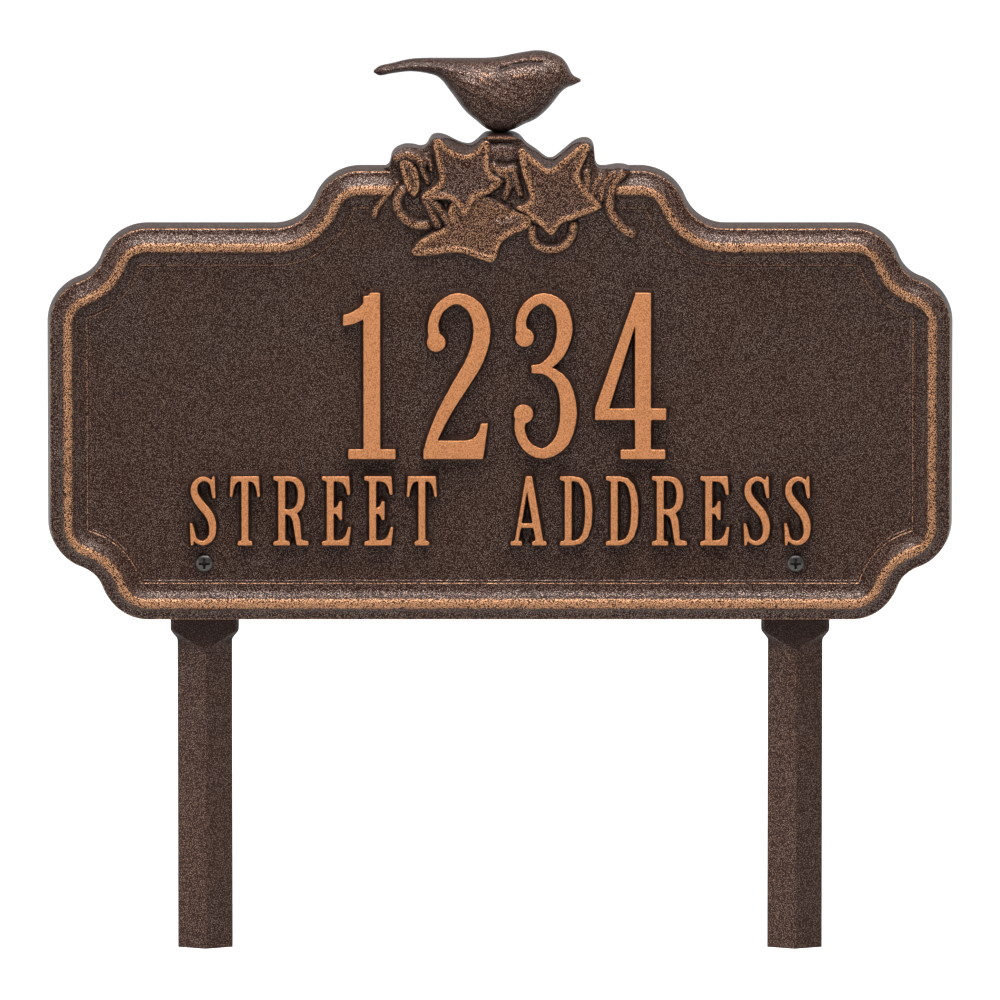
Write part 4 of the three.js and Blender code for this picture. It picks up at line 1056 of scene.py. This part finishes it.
def screw_surface(node, sizes):
    """A pan-head screw as one turned form: a domed head with a cross recess that deepens towards its
    middle, and a shank whose radius rises and falls along a helix."""
    low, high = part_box(node)
    middle = ((low.x + high.x) / 2, (low.z + high.z) / 2)
    head = (high.x - low.x) / 2
    thick = sizes.head_height
    turn = np.linspace(0, 2 * math.pi, 72, endpoint=False)
    r = head * np.append(np.linspace(0.02, 0.8, 34), np.sin(np.linspace(0.95, math.pi / 2, 10)))[:, None]
    dome = thick * (0.45 + 0.55 * np.sqrt(np.maximum(0, 1 - (r / head) ** 2.6)))
    x, z = r * np.cos(turn), r * np.sin(turn)
    arm = np.minimum(
        np.maximum(np.abs(x) - sizes.recess_reach, np.abs(z) - sizes.recess_width / 2),
        np.maximum(np.abs(z) - sizes.recess_reach, np.abs(x) - sizes.recess_width / 2),
    )
    arm = np.minimum(arm, np.abs(x) + np.abs(z) - sizes.recess_core)
    slope = 1 - 0.55 * r / sizes.recess_reach
    cut = sizes.recess_depth * slope * (1 - ease(arm, -0.25 * MM, 0.1 * MM))
    seat = low.y + thick
    face = seat - np.maximum(dome - cut, 0.3 * MM)
    shank = np.linspace(seat, high.y - 0.5 * MM, 150)[:, None]
    phase = (shank / sizes.thread_pitch - turn / (2 * math.pi)) % 1
    thread = sizes.shank_radius - sizes.thread_depth * np.abs(2 * phase - 1)
    edge = np.array([[head], [0.96 * head]])
    tail = np.array([[sizes.shank_radius - sizes.thread_depth - 0.2 * MM], [0.1 * MM]])
    wide = np.ones((1, len(turn)))
    radius = np.vstack([r * wide, edge * wide, thread, tail * wide])
    along = np.vstack([face, np.array([[seat - 0.15 * MM], [seat]]) * wide, shank * wide,
                       np.array([[high.y], [high.y]]) * wide])
    points = turned_surface(middle, radius, along, len(turn))
    # Painted shade in the cross recess: the rub falls to -0.8 inside its arms
    painted_recess_shade = np.zeros(radius.shape)
    painted_recess_shade[:len(r)] = 0.8 * ease(arm, -0.35 * MM, 0.15 * MM) - 0.8
    return points, capped(*points.shape[:2]), painted_recess_shade


def ring_surface(node, sizes):
    """A flat washer: a rectangle with bevelled corners turned about the screw's axis."""
    low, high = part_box(node)
    middle = ((low.x + high.x) / 2, (low.z + high.z) / 2)
    outer, bore, bevel = (high.x - low.x) / 2, sizes.bore_radius, sizes.bevel
    section = np.array([
        (bore, low.y + bevel), (bore + bevel, low.y), (outer - bevel, low.y), (outer, low.y + bevel),
        (outer, high.y - bevel), (outer - bevel, high.y), (bore + bevel, high.y), (bore, high.y - bevel),
        (bore, low.y + bevel),
    ])
    sides = 64
    points = turned_surface(middle, section[:, :1], section[:, 1:], sides)[:-1]
    faces = np.array(grid_faces(len(section), sides))
    return points, (faces % (sides * (len(section) - 1))).tolist()


def lock_surface(node, sizes):
    """A split washer: a bevelled square carried round most of a turn, its two ends a little apart."""
    low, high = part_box(node)
    middle = ((low.x + high.x) / 2, (low.z + high.z) / 2)
    outer, bore = (high.x - low.x) / 2, sizes.bore_radius
    radius, thick = (outer + bore) / 2, high.y - low.y
    gap = sizes.slit / radius / 2
    turn = math.pi / 2 + np.linspace(gap, 2 * math.pi - gap, 72)[:, None]
    wide, deep = (outer - bore) / 2, thick / 2
    corner = np.array([
        (-1, -0.8), (-0.8, -1), (0.8, -1), (1, -0.8), (1, 0.8), (0.8, 1), (-0.8, 1), (-1, 0.8),
    ])
    reach = radius + wide * corner[:, 0]
    along = np.broadcast_to((low.y + high.y) / 2 + deep * corner[:, 1], (len(turn), len(corner)))
    points = np.stack([
        middle[0] + reach * np.cos(turn), along, middle[1] + reach * np.sin(turn),
    ], axis=-1)
    return points, capped(*points.shape[:2])


def nut_surface(node, sizes):
    """A hexagon nut: the radius of a hexagon round the axis, cut back by a chamfer on both faces, with
    a countersunk bore."""
    low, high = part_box(node)
    middle = ((low.x + high.x) / 2, (low.z + high.z) / 2)
    flats = min(high.x - low.x, high.z - low.z) / 2
    sides = 96
    turn = np.linspace(0, 2 * math.pi, sides, endpoint=False)
    tall = high.z - low.z > high.x - low.x
    swing = (turn + (0 if tall else math.pi / 6)) % (math.pi / 3) - math.pi / 6
    hexagon = flats / np.cos(swing)
    disc = np.minimum(hexagon, flats * 1.02)
    drop = (hexagon - disc) * 0.58
    even = np.ones(sides)
    bore = (sizes.shank_radius + 0.05 * MM) * even
    mouth = bore + sizes.sink
    near, far = low.y + sizes.sink_depth, high.y - sizes.sink_depth
    radius = np.stack([bore, mouth, disc, hexagon, hexagon, disc, mouth, bore, bore])
    along = np.stack([
        near * even, low.y * even, low.y * even, low.y + drop, high.y - drop,
        high.y * even, high.y * even, far * even, near * even,
    ])
    points = turned_surface(middle, radius, along, sides)[:-1]
    faces = np.array(grid_faces(len(along), sides))
    return points, (faces % (sides * (len(along) - 1))).tolist()


class PLAQUE_OT_plate(bpy.types.Operator):
    """Build the cast plate with its moulded rim, and the seats for the stakes behind it"""

    bl_idname = "plaque.plate"
    bl_label = "Plate"

    def execute(self, context):
        scene = context.scene
        plate, rim, ivy, stake = scene.plaque_plate, scene.plaque_rim, scene.plaque_ivy, scene.plaque_stake
        coat = bronze_coat(scene)
        path = plate_path(plate)
        section = plate_section(plate, rim)
        inset = section[:, :1]
        reach = inset - plate.wall_draft
        mitre = ease(reach, rim.bead_inset, rim.width) * (path[:, 5] - inset * path[:, 4])
        flat = path[:, :2] - (inset - mitre)[..., None] * path[:, 2:4]
        # The moulding stops on both sides of the sprig, which covers it
        fade = ivy.stop_fade / 2
        under = ease(path[:, 0], -ivy.left_stop - fade, -ivy.left_stop + fade)
        under = under * (1 - ease(path[:, 0], ivy.right_stop - fade, ivy.right_stop + fade))
        under = under * (path[:, 1] > plate.arch_top - MM)
        depth = section[:, 1:2] - under * np.maximum(0, section[:, 1:2] - plate.edge_depth)
        points = standing(flat, depth)
        # Painted light and shade by run: the bottom run, whose moulding faces up, gets more of the rub, the
        # top run less, and the sides are darkened, most of all from the bead inwards
        moulded = ease(reach, 0, rim.land) * (1 - ease(reach, rim.width - rim.land, rim.width))
        inner = moulded * ease(reach, rim.bead_inset + rim.bead_width / 4, rim.bead_inset + rim.bead_width)
        painted_light_by_run = 0.06 * moulded * path[:, 3] + (0.12 * moulded + 0.22 * inner) * np.abs(path[:, 2])
        rub = (section[:, 2:] - painted_light_by_run) * (1 - under)
        piece = add_piece("plate", points, capped(*points.shape[:2]), coat, "bronze_coat", rub)
        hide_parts("plaque_casting")
        for side in ("left", "right"):
            low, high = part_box(f"{side}_stake")
            middle = (low.x + high.x) / 2
            foot, head = plate.clearance + plate.back_land / 2, high.z - stake.pad_top
            width = stake.pad_width + 2 * stake.lug_width
            boss = seat_surface(middle, foot, high.z, width, 0, plate.pan_depth + MM, stake.seat_round)
            add_piece(f"{side}_boss", *boss, coat, "bronze_coat")
            apart = (stake.pad_width + stake.lug_width) / 2 + stake.lug_gap
            for name, x in (("outer", middle - apart), ("inner", middle + apart)):
                lug = seat_surface(
                    x, foot, head, stake.lug_width, -stake.lug_rise, plate.pan_depth, stake.seat_round,
                )
                add_piece(f"{side}_{name}_lug", *lug, coat, "bronze_coat")
        return {'FINISHED'}


class PLAQUE_OT_ivy(bpy.types.Operator):
    """Build the ivy sprig on the arch and the perch in its middle"""

    bl_idname = "plaque.ivy"
    bl_label = "Ivy"

    def execute(self, context):
        scene = context.scene
        points, faces, rub = sprig_surface(scene.plaque_plate, scene.plaque_ivy)
        add_piece("ivy_sprig", points, faces, bronze_coat(scene), "bronze_coat", rub, crease=180)
        return {'FINISHED'}


class PLAQUE_OT_bird(bpy.types.Operator):
    """Build the bird on the perch"""

    bl_idname = "plaque.bird"
    bl_label = "Bird"

    def execute(self, context):
        scene = context.scene
        top = scene.plaque_plate.arch_top + scene.plaque_ivy.perch_rise
        points, faces, rub = bird_surface(scene.plaque_bird, top)
        piece = add_piece("bird", points, faces, bronze_coat(scene), "bronze_coat", rub)
        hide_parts("bird_finial")
        return {'FINISHED'}


class PLAQUE_OT_characters(bpy.types.Operator):
    """Build the raised digits and letters from the outlines of their faces"""

    bl_idname = "plaque.characters"
    bl_label = "Characters"

    def execute(self, context):
        scene = context.scene
        tint = scene.plaque_colours
        # Satin orange copper with a fine grain on the faces, dark brown on the sides, made darker there by
        # painted shade
        paint = rubbed_coat(
            "copper enamel on cast aluminium",
            [tuple(tint.bronze), tuple(tint.painted_shade), tuple(tint.fleck)],
            [tuple(tint.copper), tuple(tint.copper_light)],
            start=1.0, spread=0.05, metal=0.4, rough=0.45, tilt=0.3,
        )
        nodes = [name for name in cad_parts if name.startswith(("digit_", "letter_"))]
        if not nodes:
            raise ValueError("the frame holds no characters")
        for node in nodes:
            points, faces, rub = character_surface(node, scene.plaque_plate, scene.plaque_characters)
            piece = add_piece(f"{node}_face", points, faces, paint, "copper_characters", rub)
            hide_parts(node)
        return {'FINISHED'}


class PLAQUE_OT_stakes(bpy.types.Operator):
    """Build the two ridged stakes"""

    bl_idname = "plaque.stakes"
    bl_label = "Stakes"

    def execute(self, context):
        scene = context.scene
        tint = scene.plaque_colours
        # The plate's speckled brown a little lighter, with hardly any copper
        coat = rubbed_coat(
            "bronze enamel on die-cast stake",
            [tuple(tint.stake), tuple(tint.painted_shade), tuple(tint.stake_fleck)],
            [tuple(tint.rubbed), tuple(tint.sheen)],
            start=0.9, spread=0.7, metal=0.5, rough=0.36, tilt=0.2,
        )
        for side in ("left", "right"):
            node = f"{side}_stake"
            points, faces, rub = stake_surface(node, scene.plaque_stake, scene.plaque_plate)
            piece = add_piece(f"{side}_ground_stake", points, faces, coat, "stake_coat", rub)
            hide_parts(node)
        return {'FINISHED'}


class PLAQUE_OT_fasteners(bpy.types.Operator):
    """Build the screws, washers and nuts"""

    bl_idname = "plaque.fasteners"
    bl_label = "Fasteners"

    def execute(self, context):
        scene = context.scene
        sizes, tint = scene.plaque_fasteners, scene.plaque_colours
        # Dark satin steel that catches a grey sheen on its dome
        black = plated_metal("blackened steel screw", tuple(tint.screw), 0.36, 0.8 * MM)
        # Cool bright plating behind the plate
        zinc = plated_metal("zinc-plated steel", tuple(tint.zinc), 0.34, 0.6 * MM)
        for side in ("left", "right"):
            for part, surface, metal, slot in (
                ("screw", screw_surface(f"{side}_screw", sizes), black, "black_screw"),
                ("flat_washer", ring_surface(f"{side}_flat_washer", sizes), zinc, "zinc_steel"),
                ("lock_washer", lock_surface(f"{side}_lock_washer", sizes), zinc, "zinc_steel"),
                ("nut", nut_surface(f"{side}_nut", sizes), zinc, "zinc_steel"),
            ):
                points, faces, *painted_recess_shade = surface
                piece = add_piece(f"{side}_{part}_detail", points, faces, metal, slot, *painted_recess_shade, crease=32)
                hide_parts(f"{side}_{part}")
        return {'FINISHED'}


class PLAQUE_OT_stage(bpy.types.Operator):
    """Set the floor, the lights, the world and the camera"""

    bl_idname = "plaque.stage"
    bl_label = "Stage"

    def execute(self, context):
        scene = context.scene
        tint = scene.plaque_colours
        # White paper that stays white to the eye and still takes a soft shadow
        paper, tree, output = new_material("white studio paper")
        matt = add_node(tree, "ShaderNodeBsdfDiffuse", {"Color": tuple(tint.floor)}).outputs[0]
        dim = add_node(tree, "ShaderNodeBsdfDiffuse", {"Color": tuple(tint.shadow)}).outputs[0]
        glow = add_node(tree, "ShaderNodeEmission", {"Strength": 0.96}).outputs[0]
        white = add_node(tree, "ShaderNodeAddShader", {0: dim, 1: glow}).outputs[0]
        both = add_node(tree, "ShaderNodeMixShader", {0: seen_rays(tree), 1: matt, 2: white}).outputs[0]
        tree.links.new(both, output.inputs["Surface"])
        mesh = bpy.data.meshes.new("floor")
        reach = 30.0
        corners = [(-reach, -reach, 0), (reach, -reach, 0), (reach, reach, 0), (-reach, reach, 0)]
        mesh.from_pydata(corners, [], [[0, 1, 2, 3]])
        mesh.materials.append(paper)
        floor = bpy.data.objects.new("floor", mesh)
        scene.collection.objects.link(floor)

        world = bpy.data.worlds.new("studio")
        scene.world = world
        world.use_nodes = True
        tree = world.node_tree
        tree.nodes.clear()
        # White to the camera; what shines also sees a dim room behind the camera, and the sky lights little
        way = add_node(tree, "ShaderNodeTexCoord").outputs["Generated"]
        ahead = add_node(tree, "ShaderNodeSeparateXYZ", {"Vector": way}).outputs["Y"]
        room = add_node(tree, "ShaderNodeMapRange", {
            "Value": ahead, "From Min": -0.95, "From Max": -0.3, "To Min": 0.15, "To Max": 1.0,
        }).outputs["Result"]
        strength = add_node(tree, "ShaderNodeMapRange", {
            "Value": seen_rays(tree), "To Min": 0.07, "To Max": room,
        }).outputs["Result"]
        sky = add_node(tree, "ShaderNodeBackground", {
            "Color": (1, 1, 1, 1), "Strength": strength,
        }).outputs[0]
        add_node(tree, "ShaderNodeOutputWorld", {"Surface": sky})

        aim = Vector((0, 0, AIM_HEIGHT))
        # Places and sizes in metres, power in watts
        for name, place, size, watts in (
            ("key", (-1.7, -1.2, 0.25), (0.6, 0.4), 6),
            ("overhead", (0, -0.25, 1.5), (1.5, 0.7), 46),
            ("front", (0, -0.9, 1.42), (1.5, 0.7), 29),
        ):
            data = bpy.data.lights.new(name, 'AREA')
            data.shape = 'RECTANGLE'
            data.size, data.size_y = size
            data.energy = watts
            lamp = bpy.data.objects.new(name, data)
            lamp.location = place
            lamp.rotation_euler = (aim - Vector(place)).to_track_quat('-Z', 'Y').to_euler()
            lamp.visible_camera = False
            scene.collection.objects.link(lamp)

        data = bpy.data.cameras.new("camera")
        data.lens = 1000
        data.sensor_width = 36
        data.clip_end = 100
        camera = bpy.data.objects.new("camera", data)
        distance = PICTURE_WIDTH * data.lens / data.sensor_width
        camera.location = aim + distance * Vector((0, -math.cos(LOOK_DOWN), math.sin(LOOK_DOWN)))
        camera.rotation_euler = (aim - camera.location).to_track_quat('-Z', 'Y').to_euler()
        scene.collection.objects.link(camera)
        scene.camera = camera
        scene.view_settings.view_transform = 'Standard'
        return {'FINISHED'}


class PLAQUE_PT_panel(bpy.types.Panel):
    """Builds the plaque piece by piece"""

    bl_label = "Lawn Plaque"
    bl_idname = "PLAQUE_PT_panel"
    bl_space_type = 'VIEW_3D'
    bl_region_type = 'UI'
    bl_category = "Plaque"

    def draw(self, context):
        for operator in OPERATORS:
            self.layout.operator(operator.bl_idname)
        for name in GROUPS:
            group = getattr(context.scene, name)
            box = self.layout.box()
            for key in group.bl_rna.properties.keys():
                if key not in ("rna_type", "name"):
                    box.prop(group, key)


GROUPS = {
    "plaque_plate": PlateSizes,
    "plaque_rim": RimSizes,
    "plaque_ivy": IvySizes,
    "plaque_bird": BirdSizes,
    "plaque_characters": CharacterSizes,
    "plaque_stake": StakeSizes,
    "plaque_fasteners": FastenerSizes,
    "plaque_colours": PlaqueColours,
}
OPERATORS = (
    PLAQUE_OT_plate,
    PLAQUE_OT_ivy,
    PLAQUE_OT_bird,
    PLAQUE_OT_characters,
    PLAQUE_OT_stakes,
    PLAQUE_OT_fasteners,
    PLAQUE_OT_stage,
)


def register():
    for kind in (*GROUPS.values(), *OPERATORS, PLAQUE_PT_panel):
        bpy.utils.register_class(kind)
    for name, kind in GROUPS.items():
        setattr(bpy.types.Scene, name, PointerProperty(type=kind))


def unregister():
    for name in GROUPS:
        delattr(bpy.types.Scene, name)
    for kind in reversed((*GROUPS.values(), *OPERATORS, PLAQUE_PT_panel)):
        bpy.utils.unregister_class(kind)


def main():
    register()
    bpy.ops.plaque.plate()
    bpy.ops.plaque.ivy()
    bpy.ops.plaque.bird()
    bpy.ops.plaque.characters()
    bpy.ops.plaque.stakes()
    bpy.ops.plaque.fasteners()
    bpy.ops.plaque.stage()


if __name__ == "__main__":
    main()
